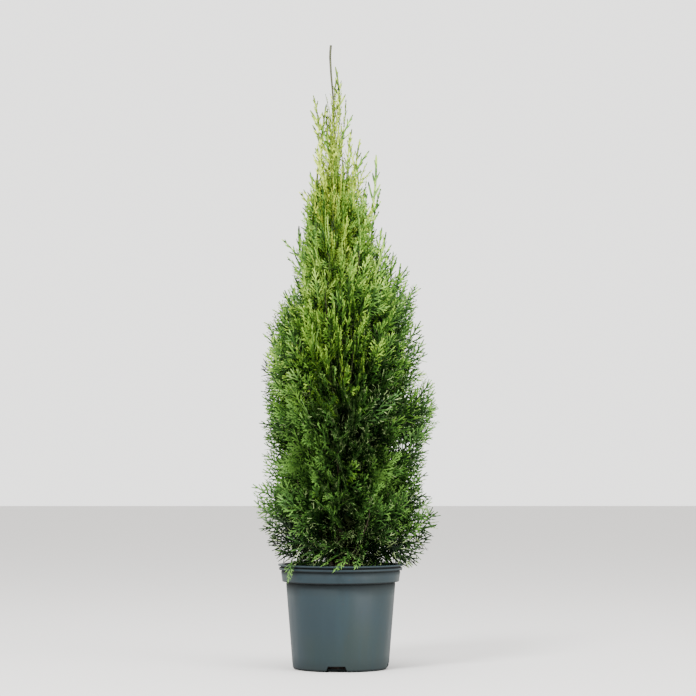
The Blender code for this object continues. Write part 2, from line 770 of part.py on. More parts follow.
def build_foliage(masses):
    rng = random.Random(SEED)
    growths = {mass.name: Growth(mass, masses) for mass in masses}
    for tip in twig_tips(rng):
        growths[nearest_mass(tip, masses).name].grow_twig(tip, rng)
    for mass in masses:
        add_object(fused(growths[mass.name].pieces, mass.name), mass.name, foliage(mass.zone))


def main():
    clear_scene()
    masses = lay_out_crown()
    build_pot()
    build_mix()
    build_limbs(masses)
    build_foliage(masses)


main()
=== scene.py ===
"""Looks of a potted emerald green arborvitae: pot, growing mix, bark, twigs and sprays of scale leaves.

Metres, +Z up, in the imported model's frame. -Y is the front.
"""

import functools
import json
import math
import random
from collections import namedtuple

import bmesh
import bpy
import numpy as np
from bpy.props import FloatProperty, FloatVectorProperty, IntProperty, PointerProperty
from mathutils import Matrix, Vector, noise

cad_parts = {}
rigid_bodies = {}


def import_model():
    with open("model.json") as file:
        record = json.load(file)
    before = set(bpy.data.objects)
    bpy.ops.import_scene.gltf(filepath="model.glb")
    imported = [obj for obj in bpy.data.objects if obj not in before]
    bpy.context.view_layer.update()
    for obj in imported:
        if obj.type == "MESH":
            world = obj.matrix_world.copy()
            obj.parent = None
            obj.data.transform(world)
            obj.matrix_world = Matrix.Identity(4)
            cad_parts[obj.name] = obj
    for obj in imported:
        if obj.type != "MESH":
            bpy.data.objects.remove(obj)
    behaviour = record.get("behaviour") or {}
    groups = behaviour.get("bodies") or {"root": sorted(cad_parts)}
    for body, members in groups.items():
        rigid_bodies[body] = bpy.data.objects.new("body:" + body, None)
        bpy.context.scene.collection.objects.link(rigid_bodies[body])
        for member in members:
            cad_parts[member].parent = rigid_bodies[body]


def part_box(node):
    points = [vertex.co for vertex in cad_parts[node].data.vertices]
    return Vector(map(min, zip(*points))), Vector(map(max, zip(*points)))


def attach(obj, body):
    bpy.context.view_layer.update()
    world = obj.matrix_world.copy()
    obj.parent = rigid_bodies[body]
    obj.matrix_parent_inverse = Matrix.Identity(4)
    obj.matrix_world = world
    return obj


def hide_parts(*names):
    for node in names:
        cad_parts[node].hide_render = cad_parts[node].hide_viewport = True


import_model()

bl_info = {
    "name": "Potted Arborvitae",
    "version": (1, 0, 0),
    "blender": (4, 5, 0),
    "location": "3D View > Sidebar > Arborvitae",
    "description": "Dresses the packed model of a potted arborvitae",
    "category": "Add Mesh",
}

BODY = "root"
UP, TO_THE_RIGHT = Vector((0, 0, 1)), Vector((1, 0, 0))
GOLDEN_ANGLE = math.pi * (3 - math.sqrt(5))
ANY_TURN = (0, 6.3)

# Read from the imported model
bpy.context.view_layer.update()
POT_LOW, POT_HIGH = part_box("pot")
MIX_LOW, MIX_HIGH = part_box("growing_mix")
TRUNK_LOW, TRUNK_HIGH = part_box("trunk")
POT_HEIGHT, LIP_RADIUS = POT_HIGH.z, (POT_HIGH.x - POT_LOW.x) / 2
MIX_FOOT, MIX_TOP = MIX_LOW.z, MIX_HIGH.z
TRUNK_FOOT, TRUNK_TOP = TRUNK_LOW.z, TRUNK_HIGH.z
TREE_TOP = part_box("leader_foliage")[1].z

# Pot
LIP_EDGE, LIP_ROUND = 0.0035, 0.0008
GROOVE_RADIUS, GROOVE_FOOT = 0.1322, 0.2210
BEAD_RADIUS, BEAD_FOOT = 0.1356, 0.2156
COLLAR_TOP, COLLAR_TOP_RADIUS = 0.2142, 0.1310
COLLAR_FOOT, COLLAR_FOOT_RADIUS = 0.1900, 0.1283
STEP = 0.0015
UNDERCUT, UNDERCUT_HEIGHT = 0.0015, 0.0035
BODY_TOP_RADIUS, BODY_FOOT_RADIUS = 0.1200, 0.1053
CORNER, CORNER_POINTS = 0.0060, 7
WALL, FLOOR = 0.0024, 0.0050
FOOT_RING, FOOT_DISC_RADIUS, FOOT_RECESS = 0.0160, 0.0540, 0.0026
POT_SIDES, SMOOTH_BELOW = 144, math.radians(35)
NOTCHES, NOTCH_TURN = 4, math.radians(-95)
NOTCH_FOOT_WIDTH, NOTCH_TOP_WIDTH = 0.0480, 0.0370
NOTCH_HEIGHT, NOTCH_DEPTH, NOTCH_LENGTH = 0.0125, 0.0150, 0.0400
NOTCH_BELOW = 0.0040

# Colour of painted shade under the collar and bead, in the groove and at the foot; its strength by height
PAINTED_SHADE = (0.004, 0.006, 0.006)
PAINTED_SHADE_HEIGHTS = (
    (0.0000, 0.85),
    (0.0060, 0.30),
    (0.0300, 0.00),
    (COLLAR_FOOT - 0.0300, 0.00),
    (COLLAR_FOOT - 0.0180, 0.28),
    (COLLAR_FOOT - 0.0100, 0.55),
    (COLLAR_FOOT - 0.0050, 0.80),
    (COLLAR_FOOT - STEP, 1.00),
    (COLLAR_FOOT + 0.0010, 0.80),
    (COLLAR_FOOT + 0.0020, 0.00),
    (COLLAR_TOP - 0.0100, 0.00),
    (COLLAR_TOP - 0.0030, 0.55),
    (COLLAR_TOP, 1.00),
    (BEAD_FOOT + LIP_ROUND, 0.80),
    (BEAD_FOOT + 0.0018, 0.00),
    (GROOVE_FOOT - LIP_ROUND, 0.00),
    (GROOVE_FOOT, 1.00),
    (POT_HEIGHT - LIP_EDGE, 1.00),
    (POT_HEIGHT - LIP_EDGE + LIP_ROUND, 0.00),
)

# Growing mix
MIX_SLOPE, MIX_CLEAR = 0.0040, 0.0003
MIX_INSET, MIX_SHOULDER = 0.0240, 0.0180
MIX_SIDES, MIX_RINGS, MIX_MIDDLE = 72, 34, 0.03
# Scale and height of each layer of its relief, how far the whole surface sinks, and where the relief ends
MIX_RELIEF = ((130, 0.0022), (45, 0.0026))
MIX_SINK, RELIEF_EDGE = 0.0012, 0.98
CRUMB_KINDS, CRUMB_SIZES, CRUMB_CORNERS = 6, (0.0014, 0.0046), (0.6, 1.2)
CRUMB_EDGE, CRUMB_TILT, CRUMB_SEED = 0.96, 0.5, 3

# Trunk and bark
LEAN, LEAN_GATHER = -0.0210, 1.3
SWAY, SWAY_TURN = 0.0030, 9
FLARE, FLARE_HEIGHT = 0.0065, 0.0450
TRUNK_FOOT_RADIUS, TRUNK_TIP_RADIUS = 0.0150, 0.0036
TRUNK_SIDES, BOUGH_SIDES, BARK_STEP = 36, 16, 0.0040
YOUNG_TRUNK = (0.800, 1.000)
# Layers of fibres: scale across and along, shift, share of the relief
FIBRES = ((420, 34, 0, 0.45), (150, 16, 7, 0.70))
FIBRE_SINK, FIBRE_FADE, LEAST_FIBRE = 0.3, 1.2, 0.3

# The crown's reach from the trunk: height, reach to the left (-X), reach to the right (+X)
CROWN_REACH = (
    (0.180, 0.118, 0.140), (0.240, 0.147, 0.172), (0.275, 0.165, 0.196), (0.330, 0.174, 0.213),
    (0.385, 0.189, 0.211), (0.440, 0.174, 0.178), (0.500, 0.168, 0.198), (0.570, 0.175, 0.219),
    (0.640, 0.172, 0.193), (0.730, 0.168, 0.187), (0.790, 0.144, 0.189), (0.850, 0.110, 0.180),
    (0.900, 0.098, 0.156), (0.950, 0.090, 0.128), (1.010, 0.078, 0.104), (1.070, 0.067, 0.080),
    (1.130, 0.050, 0.054), (1.190, 0.037, 0.031), (1.255, 0.027, 0.019), (1.310, 0.013, 0.013),
    (1.372, 0.004, 0.004),
)
# How far out a spray may reach: a share of the crown's reach, in it and at its outline, and a length more
SPRAY_REACH, OUTLINE_REACH, REACH_MARGIN = 1.02, 1.05, 0.004

# Shoots at the tree's top: degrees round the trunk, reach and height of the tip, degrees of climb, length
TOP_SHOOTS = (
    (5, 0.008, 1.334, 94, 0.110), (-10, 0.022, 1.297, 78, 0.060), (12, 0.031, 1.263, 84, 0.100),
    (0, 0.044, 1.226, 68, 0.080), (-8, 0.040, 1.193, 84, 0.090), (6, 0.058, 1.173, 84, 0.100),
    (-6, 0.080, 1.144, 58, 0.090), (3, 0.094, 1.137, 85, 0.140), (-12, 0.088, 1.098, 42, 0.070),
    (10, 0.076, 1.122, 70, 0.060), (-20, 0.108, 1.056, 80, 0.120), (176, 0.053, 1.236, 63, 0.110),
    (190, 0.044, 1.268, 82, 0.090), (172, 0.017, 1.228, 86, 0.080), (184, 0.049, 1.202, 62, 0.100),
    (200, 0.008, 1.195, 88, 0.060), (180, 0.044, 1.151, 66, 0.080), (170, 0.031, 1.144, 84, 0.070),
    (188, 0.040, 1.104, 48, 0.070), (178, 0.057, 1.091, 52, 0.080), (178, 0.081, 1.054, 58, 0.080),
    (0, 0.115, 0.964, 74, 0.090), (-8, 0.127, 0.934, 62, 0.080), (179, 0.154, 0.760, 60, 0.090),
    (176, 0.082, 0.978, 83, 0.120), (182, 0.120, 0.947, 50, 0.080), (186, 0.110, 0.906, 42, 0.070),
    (181, 0.128, 0.808, 60, 0.100), (176, 0.115, 0.835, 68, 0.090), (180, 0.166, 0.738, 46, 0.080),
    (184, 0.140, 0.770, 64, 0.080), (2, 0.139, 0.908, 64, 0.100), (-4, 0.164, 0.886, 50, 0.080),
    (1, 0.191, 0.838, 36, 0.080), (95, 0.072, 1.120, 78, 0.120), (262, 0.050, 1.165, 80, 0.110),
    (60, 0.040, 1.215, 76, 0.100), (300, 0.034, 1.235, 80, 0.100), (120, 0.030, 1.250, 78, 0.090),
)
# Bright plumes of fresh growth on the crown's face: degrees round the trunk, reach and height of the tip
PLUMES = (
    (286, 0.040, 1.190), (281, 0.056, 1.135), (270, 0.030, 1.155), (272, 0.042, 1.100),
    (268, 0.052, 1.045), (271, 0.064, 0.995), (268, 0.074, 0.950), (268, 0.150, 0.800),
    (293, 0.160, 0.765), (254, 0.155, 0.775), (287, 0.076, 1.060), (262, 0.118, 0.990),
    (261, 0.170, 0.705), (273, 0.172, 0.745), (307, 0.172, 0.720), (282, 0.078, 1.100),
    (275, 0.090, 1.040), (286, 0.100, 0.990), (278, 0.112, 0.925), (290, 0.128, 0.880),
    (95, 0.165, 0.700), (60, 0.185, 0.480), (130, 0.150, 0.800), (85, 0.095, 1.020),
)
PLUME_LENGTH = 0.090
# Twigs whose sprays make the crown's outline, in the same way
OUTLINE_TWIGS = (
    (180, 0.158, 0.740), (172, 0.158, 0.708), (187, 0.160, 0.672), (178, 0.172, 0.600),
    (184, 0.166, 0.520), (171, 0.176, 0.455), (180, 0.196, 0.422), (184, 0.197, 0.404),
    (188, 0.199, 0.388), (175, 0.196, 0.368), (181, 0.174, 0.330), (177, 0.164, 0.280),
    (4, 0.140, 0.915), (-6, 0.166, 0.876), (3, 0.182, 0.848), (-12, 0.176, 0.820),
    (8, 0.178, 0.795), (-3, 0.190, 0.765), (2, 0.196, 0.725), (-9, 0.186, 0.690),
    (0, 0.208, 0.636), (-5, 0.216, 0.614), (8, 0.206, 0.594), (3, 0.220, 0.578),
    (-2, 0.206, 0.528), (-11, 0.208, 0.628), (11, 0.206, 0.645), (-4, 0.217, 0.592),
    (6, 0.188, 0.478), (-5, 0.194, 0.452), (3, 0.196, 0.430), (-4, 0.202, 0.378),
    (9, 0.188, 0.400), (2, 0.218, 0.344), (-8, 0.217, 0.316), (5, 0.204, 0.290),
    (-3, 0.196, 0.262), (4, 0.186, 0.248), (-9, 0.176, 0.240), (-4, 0.171, 0.222),
    (3, 0.150, 0.236), (183, 0.166, 0.300), (177, 0.162, 0.268), (188, 0.150, 0.246),
    (80, 0.168, 0.760), (100, 0.176, 0.600), (262, 0.170, 0.560), (250, 0.190, 0.360),
    (70, 0.190, 0.380),
)
# Sprays that hang over the pot's lip: degrees round the pot, reach and height of the foot and of the tip
HANGING = (
    ((221, 0.138, 0.240), (221, 0.151, 0.190)),
    ((226, 0.120, 0.246), (216, 0.150, 0.222)),
    ((282, 0.112, 0.254), (263, 0.151, 0.214)),
    ((268, 0.118, 0.252), (252, 0.146, 0.226)),
    ((290, 0.120, 0.246), (281, 0.150, 0.221)),
    ((250, 0.105, 0.262), (243, 0.140, 0.236)),
    ((118, 0.130, 0.246), (118, 0.152, 0.206)),
    ((60, 0.122, 0.250), (66, 0.150, 0.218)),
)
# Where the sky shows through from the front: middle across and up, half width and half height
SKY_OPENINGS = ((0.130, 0.492, 0.016, 0.018),)

# Masses wind round the trunk in a spiral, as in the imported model.
Zone = namedtuple("Zone", "name top boughs")
ZONES = (
    Zone("skirt", 0.375, True),
    Zone("lower", 0.520, True),
    Zone("middle", 0.680, True),
    Zone("upper", 0.860, True),
    Zone("spire", 1.150, False),
    Zone("leader", 1.372, False),
)
Mass = namedtuple("Mass", "name zone heart bough stem tip_radius")
FIRST_HEART, FIRST_TURN = 0.268, math.radians(-60)
MASS_AREA, HEART_OUT, SPACE_STRETCH = 0.0305, 0.42, 0.60
BOUGH_FOOT_RADIUS, BOUGH_TIP_RADIUS, BOUGH_ROOT = 0.0062, 0.0031, 0.6
BOUGH_DROP, STEM_DROP, LOWEST_FORK = 0.130, 0.120, 0.216
ENTRY_DROP, ENTRY_OUT, ENTRY_CLIMB = 0.050, 0.24, 0.020
STEM_RISE, STEM_OUT = 0.090, 0.62
STEM_FOOT_RADIUS, STEM_TIP_RADIUS = 0.0030, 0.0010
CURVE_PIECES = 6
LEADER_HEART, LEADER_OVERLAP, LEADER_PIECES = 1.240, 0.020, 12
LEADER_FOOT_RADIUS, LEADER_TIP_RADIUS = 0.0021, 0.0029
BARE_LEADER, LEADER_RISE, BARE_PIECES = 1.2550, 0.0050, 10
# How far the bare leader stands to the right of the tree's axis, by height
LEADER_BENDS = ((1.2600, 0.0000), (1.3120, -0.0032), (1.3550, -0.0042), (1.3770, -0.0014))

# Shapes of spray. length: in life; sides: fewest and most branchlets on the axis; longest: the longest of
# them, as a share of the length; open_angle and close_angle: of the first and the last, in degrees; forks: on
# a long branchlet; width: of its leaves, against the leaf width; contrast: between its dark foot and its
# light tips, older and fresh growth with painted shade at the foot and painted light at the tips; variety:
# of single leaves.
SprayShape = namedtuple(
    "SprayShape", "length sides longest open_angle close_angle forks width contrast variety"
)
SPRAY_SHAPES = {
    "fan": SprayShape(0.108, (11, 13), 0.42, 46, 31, 2, 0.97, 1.30, 0.40),
    "skirt": SprayShape(0.110, (8, 10), 0.46, 46, 33, 1, 1.03, 1.40, 0.40),
    "plume": SprayShape(0.095, (11, 13), 0.35, 42, 27, 1, 0.97, 1.20, 0.50),
    "whip": SprayShape(0.110, (5, 7), 0.28, 34, 24, 0, 1.45, -0.25, 0.90),
    "inner": SprayShape(0.090, (10, 12), 0.38, 50, 34, 1, 1.00, 1.10, 0.40),
    "hanging": SprayShape(0.055, (8, 10), 0.38, 44, 32, 1, 0.82, 0.90, 0.60),
}
VARIANTS, FORM_SEED = 12, 5
LEAF_STEP, LEAF_FOOT, LEAF_TIP, LEAF_FOLD = 0.0078, 0.74, 0.55, 0.8
AXIS_BEND, AXIS_WIDTH, AXIS_SHADES = 0.30, 1.05, (-1.6, 1.4)
# Branchlets: place on the axis, scatter of place, angle, length and roll, and the way the length tapers
FIRST_SIDE, SIDES_REACH, SIDE_SCATTER, LOOK_AHEAD = 0.07, 0.86, 0.3, 0.1
ANGLE_SCATTER, LENGTH_SCATTER, ROLL = (0.88, 1.12), (0.75, 1.15), 0.16
LENGTH_GAIN, LENGTH_TAPER, FOOT_SHARE, FOOT_GROWTH = 1.25, 0.65, 0.60, 1.6
CURLS, SIDE_WIDTH, SIDE_TAPER = (2, 16), 0.95, (1.05, 0.95)
SIDE_SHADES, SHADE_SCATTER, SHADE_RISE, SHADE_CURVE = (-1.4, 0.8), 0.55, (-0.4, 1.1), 1.8
FORK_FROM, FORK_WIDTH, FORK_SHADE = 0.20, 0.85, 1.2
FORK_ANGLES, FORK_PLACES, NEXT_FORK, FORK_LENGTHS = (26, 36), (0.30, 0.42), 0.28, (0.65, 0.95)
# Branchlets with painted glints of light: their share, the width of their leaves, and where on them it starts
GLINT_SHARE, GLINT_WIDTH, GLINT_FROM = 0.20, 0.64, 0.5

# How steeply sprays climb at a height, in degrees
LIFTS = (
    (0.200, -30), (0.235, -10), (0.265, 6), (0.310, 20), (0.400, 30), (0.550, 40),
    (0.700, 50), (0.860, 62), (1.000, 72), (1.150, 78), (1.372, 84),
)
# Layers of sprays. foot and top: heights between which it grows; spacing: between twigs; out: share of
# the crown's reach; side_sprays: on each twig; shape: of its sprays, unless their height tells it; tone:
# how light it is.
Layer = namedtuple("Layer", "foot top spacing out side_sprays shape tone")
LAYERS = (
    Layer(0.350, 0.860, 0.0420, (0.86, 1.02), 2, None, 2.3),
    Layer(0.224, 0.350, 0.0660, (0.62, 1.03), 2, "skirt", 2.6),
    Layer(0.230, 0.350, 0.0380, (0.16, 0.70), 1, "inner", 0.0),
    Layer(0.860, 1.120, 0.0450, (0.50, 0.84), 2, None, 2.9),
    Layer(0.820, 1.200, 0.0600, (0.86, 1.04), 0, "whip", 3.2),
    Layer(0.350, 1.080, 0.0425, (0.60, 0.86), 2, None, 0.8),
    Layer(0.340, 1.120, 0.0360, (0.08, 0.60), 2, "inner", -0.4),
)
# Twigs stand closer where the crown is slim: share of the spacing there, its growth, and the least reach
SLIM_SPACING, SPACING_GROWTH, LEAST_REACH, TURN_SCATTER = 0.45, 4, 0.010, 0.1
# Heights at which one shape of spray gives way to the next, and how far that spreads
SKIRT_TOP, SKIRT_BLUR = 0.350, 0.03
PLUMES_FROM, PLUME_BLUR = 0.80, 0.12
WHIPS_FROM, WHIP_BLUR = 1.06, 0.04
LOWEST_TIP = 0.212

# Twigs: radii at foot and tip, growth of sprays with the twig's reach, and scatter of size and way
TWIG_RADII, SHOOT_RADII, TWIG_SIDES = (0.0012, 0.0009), (0.0013, 0.0010), 4
FIRST_SIDE_WAY = Vector((0.3, 0.9, 0.2))
NEAR_SIZE, SIZE_GROWTH, SIZE_SCATTER = 0.72, 1.7, (0.85, 1.15)
WANDER, LIFT_WANDER, ROLL_SPREAD = 0.24, 0.144, 0.5
# A twig rises at first, bows, and overlaps its spray. Next to another mass it is drawn in by a share.
TWIG_RISE, TWIG_BOW, OVERLAP = 0.2, 0.8, 0.004
DRAWN_IN, DRAWN_LEAD = 0.08, 0.04
TWIG_PIECES, SHOOT_PIECES = 4, 5
# Sprays on a twig's sides: angle, scatter of the way, place of the first, steps of place and tone, sizes
SIDE_ANGLES, SIDE_WANDER, SIDE_PLACE, SIDE_STEP = (26, 44), 0.08, 0.92, 0.24
SIDE_FADE, SIDE_TONE_SCATTER, SIDE_SIZES = 0.35, 0.4, (0.7, 0.9)
# Shares at which a spray is tried, and at which it is held clear of the openings
SPRAY_SHARES, OPENING_SHARES = (1, 0.8, 0.6), (0.25, 0.5, 0.75, 1.0)
# Whips round the leader, and steep ones that hide it: number, height of the first, step, degrees of climb
WHIPS, WHIP_FOOT, WHIP_STEP, WHIP_CLIMBS = 13, 1.0000, 0.0200, (66, 79)
WHIP_LENGTHS, WHIP_SCATTER = (0.150, 0.075), (0.8, 1.1)
SLEEVE_WHIPS, SLEEVE_FOOT, SLEEVE_STEP, SLEEVE_CLIMBS = 22, 0.9400, 0.0116, (81, 87)
SLEEVE_OUT, SLEEVE_SIZES = 0.0035, (0.65, 0.85)
WHIP_ROLL, SHOOT_ROLL, STEM_END_ROLL, STEM_END_LENGTH = 0.9, 0.35, 0.3, 1.3
# Arch of a twig that hangs over the lip, and where on its stem it starts
ARCH, ARCH_FOOT = 0.03, 0.1
# Room that twigs and sprays keep inside the pot's wall, outside it, above it and in the growing mix
ROOM_INSIDE, ROOM_OUTSIDE, ROOM_ABOVE, ROOM_BELOW = 0.006, 0.006, 0.003, 0.001

# Tones, from 0 for the darkest green: of single kinds of spray, and how far they scatter
SHOOT_TONE, PLUME_TONE, STEM_END_TONE, HANGING_TONE = 2.4, 3.3, 3.2, 3.2
WHIP_TONE, SLEEVE_TONE, WHIP_TONE_SCATTER = 3.5, 3.6, 0.4
SHOOT_TONE_GROWTH, SHOOT_TONE_SCATTER = 1.2, 0.3
# Of the others: growth with height, start, scale and strength of clumps, shade by another mass, scatter
TONE_GROWTH, TONE_START, CLUMP_SCALE, CLUMP_TONE = 1.7, -0.4, 11, 0.9
EDGE_LEAD, EDGE_SHADE, TONE_SCATTER = 0.05, 0.5, 0.5
# Shade of the sprays that are near the pot, and how high it reaches
LOW_SHADE, LOW_SHADE_HEIGHT = 1.9, 0.200
# The darkest tone at a height
DARKEST = ((0.220, -3.0), (0.550, -0.4), (0.720, 1.3), (0.950, 2.4), (1.372, 3.0))
# A spray below the first tone lies in the shade, where its contrast is lower and some of its leaves take a
# painted glint.
SHADED_BELOW, SHADED_CONTRAST = 1.9, 0.60
# Places that are lighter or darker than the rest of the crown: middle, radius, change of tone
LIGHT_AND_SHADE = (
    ((0.230, 0.000, 0.600), 0.130, -0.8), ((0.220, 0.000, 0.340), 0.150, -0.6),
    ((-0.200, 0.000, 0.370), 0.120, -0.3), ((-0.180, -0.030, 0.650), 0.080, -1.7),
    ((-0.150, -0.080, 0.510), 0.070, 0.8), ((0.180, 0.000, 0.820), 0.120, -1.1),
    ((0.110, -0.110, 0.650), 0.110, -1.4), ((0.150, -0.070, 0.690), 0.060, -1.2),
    ((-0.100, -0.110, 0.600), 0.120, 0.8), ((-0.120, -0.120, 0.430), 0.120, 1.5),
    ((0.125, -0.115, 0.420), 0.120, 1.9), ((0.046, -0.170, 0.590), 0.085, -3.0),
    ((0.065, -0.140, 0.375), 0.050, -1.6), ((0.020, -0.150, 0.460), 0.140, -0.6),
    ((0.000, -0.160, 0.320), 0.090, 0.8), ((0.000, -0.155, 0.690), 0.085, 2.0),
    ((0.035, -0.115, 0.812), 0.050, 1.8), ((0.110, -0.060, 0.850), 0.060, -1.0),
    ((-0.095, -0.090, 0.785), 0.080, 1.6), ((-0.040, -0.080, 0.920), 0.080, 1.5),
    ((0.000, -0.080, 0.990), 0.100, 1.5), ((0.000, 0.000, 1.250), 0.200, 1.0),
    ((0.000, 0.000, 0.180), 0.200, -1.4), ((0.090, 0.110, 0.620), 0.110, 1.0),
    ((-0.060, 0.130, 0.400), 0.140, -1.4), ((0.010, 0.080, 0.950), 0.100, 1.2),
)

# Greens in the shade, which are the same at all heights, from the deepest on
SHADE_GREENS = ((0.002, 0.007, 0.002), (0.006, 0.019, 0.003))
# Lighter greens, up to the freshest tips, low in the crown, in the middle of it and at the top
LIT_GREENS = (
    ((0.020, 0.052, 0.010), (0.045, 0.116, 0.019), (0.104, 0.222, 0.037), (0.222, 0.386, 0.078)),
    ((0.019, 0.054, 0.008), (0.050, 0.122, 0.014), (0.119, 0.249, 0.027), (0.278, 0.457, 0.054)),
    ((0.034, 0.064, 0.006), (0.105, 0.170, 0.014), (0.262, 0.380, 0.026), (0.490, 0.620, 0.064)),
)
LIT_TONES = len(LIT_GREENS[0])
# A pale green painted on some leaves in the crown's shade, as glints of reflected light
PAINTED_GLINT_GREEN = (0.205, 0.280, 0.110)
GREENS = (*SHADE_GREENS, *(green for greens in LIT_GREENS for green in greens), PAINTED_GLINT_GREEN)
# Heights between which one range of greens gives way to the next, and how far that spreads
GREENS_MEET, GREENS_BLUR = (0.560, 1.000), 0.080
# The lightest tone grows only above the first height, and scaly green twigs above the second.
FRESH_ABOVE, FRESH_TWIGS = 0.560, 1.060
STEM_BARK, TWIG_BARK, LEADER_BARK, FRESH_BARK = range(4)

# Stage. Lights: name, place, size, share of the power
LIGHTS = (
    ("key_light", (-1.4, -2.6, 4.2), 0.9, 1.0),
    ("fill_light", (3.0, -2.4, 1.6), 2.0, 0.40),
    ("top_light", (0.2, -0.6, 4.4), 1.4, 0.45),
)
LIGHTS_AIM, WORLD_COLOUR = Vector((0, 0, 0.7)), (1.0, 0.99, 0.97)
STUDIO_SIZE, STUDIO_DROP = 40, 0.0005
CAMERA_PLACE, CAMERA_AIM = (0.0, -4.970, 0.443), Vector((0.016, 0.0, 0.7027))
# The photograph's half width and its focal length, in pixels
PHOTO_HALF_WIDTH, PHOTO_FOCAL_LENGTH = 348, 2254

Twig = namedtuple("Twig", "points radii bark")
Spray = namedtuple("Spray", "form base across way length tone greens")
Form = namedtuple("Form", "points triangles shades glints")


# Settings


def colour_setting(name, description, default):
    return FloatVectorProperty(name=name, description=description, default=default, subtype="COLOR", size=3)


class ARBOR_PG_pot(bpy.types.PropertyGroup):
    """Colours of the pot, and the growing mix."""

    colour: colour_setting("Plastic", "Colour of the pot", (0.0043, 0.0140, 0.0190))
    warm_colour: colour_setting("Warm side", "Colour of its weathered side", (0.0060, 0.0154, 0.0156))
    mix_colour: colour_setting("Mix", "Colour of the growing mix", (0.024, 0.016, 0.012))
    crumbs: IntProperty(name="Crumbs", description="Number of crumbs on the growing mix", default=900)


class ARBOR_PG_tree(bpy.types.PropertyGroup):
    """Sizes and colours of the tree."""

    seed: IntProperty(name="Seed", description="Seed of the crown's growth", default=11)
    leaf_width: FloatProperty(
        name="Leaf width", description="Width of a branchlet with its scale leaves", default=0.0034,
        subtype="DISTANCE", unit="LENGTH",
    )
    relief: FloatProperty(
        name="Bark relief", description="Depth of the fibres on the trunk", default=0.0011,
        subtype="DISTANCE", unit="LENGTH",
    )
    # The bark's and stems' dark browns are darkened further as painted shade for the inside of the crown
    bark_colour: colour_setting("Bark", "Colour of the bark", (0.045, 0.032, 0.022))
    stem_colour: colour_setting("Stems", "Colour of the masses' stems", (0.034, 0.027, 0.016))
    twig_colour: colour_setting("Twigs", "Colour of the green twigs", (0.050, 0.075, 0.020))
    leader_colour: colour_setting("Leader", "Colour of the leader's bark", (0.055, 0.060, 0.031))
    fresh_colour: colour_setting("Fresh twigs", "Colour of the scaly twigs high up", (0.110, 0.155, 0.022))


class ARBOR_PG_stage(bpy.types.PropertyGroup):
    """Floor, light and camera."""

    floor_colour: colour_setting("Floor", "Colour of the floor", (0.50, 0.49, 0.48))
    world_light: FloatProperty(name="World light", description="Strength of the light all round", default=2.4)
    key_power: FloatProperty(
        name="Key light", description="Power of the main light", default=430, subtype="POWER", unit="POWER",
    )


# Materials


class Finish:
    """A material in the making. Its patterns lie on the piece's own coordinates."""

    def __init__(self, name):
        self.material = bpy.data.materials.new(name)
        self.material.use_nodes = True
        self.shader = self.material.node_tree.nodes["Principled BSDF"]

    def feed(self, node, socket, value):
        """Links an output to a node's socket, or sets a plain value on it."""
        entry = node.inputs[socket]
        if isinstance(value, bpy.types.NodeSocket):
            self.material.node_tree.links.new(value, entry)
        else:
            entry.default_value = (*value, 1) if entry.type == "RGBA" else value

    def add(self, kind, inputs):
        node = self.material.node_tree.nodes.new(kind)
        for socket, value in inputs.items():
            self.feed(node, socket, value)
        return node

    def place(self):
        return self.add("ShaderNodeTexCoord", {}).outputs["Object"]

    def height(self):
        return self.add("ShaderNodeSeparateXYZ", {"Vector": self.place()}).outputs["Z"]

    def noise(self, scale, detail, stretch=(1, 1, 1)):
        """A noise pattern, drawn out along the axes with a low stretch."""
        place = self.add("ShaderNodeMapping", {"Vector": self.place(), "Scale": stretch}).outputs["Vector"]
        pattern = {"Vector": place, "Scale": scale, "Detail": detail}
        return self.add("ShaderNodeTexNoise", pattern).outputs["Fac"]

    def ramp(self, value, stops):
        node = self.add("ShaderNodeValToRGB", {"Fac": value})
        elements = node.color_ramp.elements
        while len(elements) < len(stops):
            elements.new(0.5)
        for element, (place, colour) in zip(elements, stops):
            element.position = place
            element.color = (*colour, 1)
        return node.outputs["Color"]

    def mix(self, share, first, second):
        """A blend of two colours, whose sockets have numbers because their names aren't unique."""
        node = self.add("ShaderNodeMix", {})
        node.data_type = "RGBA"
        for socket, value in (("Factor", share), (6, first), (7, second)):
            self.feed(node, socket, value)
        return node.outputs[2]

    def carry(self, value, source, target):
        """The value's source range carried over to a target range."""
        ends = dict(zip(("From Min", "From Max", "To Min", "To Max"), (*source, *target)))
        return self.add("ShaderNodeMapRange", {"Value": value, **ends}).outputs["Result"]

    def paint(self, colour, roughness, specular=0.5):
        self.feed(self.shader, "Base Color", colour)
        self.feed(self.shader, "Roughness", roughness)
        self.feed(self.shader, "Specular IOR Level", specular)

    def bump(self, value, strength, distance):
        node = self.add("ShaderNodeBump", {"Height": value, "Strength": strength, "Distance": distance})
        self.feed(self.shader, "Normal", node.outputs["Normal"])


def scaled(colour, share):
    return tuple(part * share for part in colour)


def pot_plastic(settings):
    """Satin plastic with upright streaks, a weathered side, specks of dirt, and painted shade."""
    finish = Finish("pot_plastic")
    streaks = finish.noise(30, 3, (1, 1, 0.06))
    side = finish.carry(finish.noise(6, 2), (0.42, 0.62), (0, 1))
    colour = finish.mix(side, settings.colour, settings.warm_colour)
    colour = finish.mix(finish.carry(streaks, (0.52, 0.80), (0, 0.6)), colour, scaled(settings.colour, 1.35))
    dirt = finish.carry(finish.noise(260, 2), (0.70, 0.76), (0, 0.75))
    colour = finish.mix(dirt, colour, settings.mix_colour)
    # Painted shade by height, near black and fully rough: under collar and bead, in the groove, round the
    # foot
    height = finish.carry(finish.height(), (0, POT_HEIGHT), (0, 1))
    painted_shade = finish.ramp(height, [(level / POT_HEIGHT, (share,) * 3) for level, share in PAINTED_SHADE_HEIGHTS])
    gloss = finish.ramp(streaks, ((0.3, (0.46,) * 3), (0.7, (0.58,) * 3)))
    finish.paint(finish.mix(painted_shade, colour, PAINTED_SHADE), finish.mix(painted_shade, gloss, (1, 1, 1)), 0.29)
    finish.bump(finish.noise(420, 2), 0.12, 0.0006)
    return finish.material


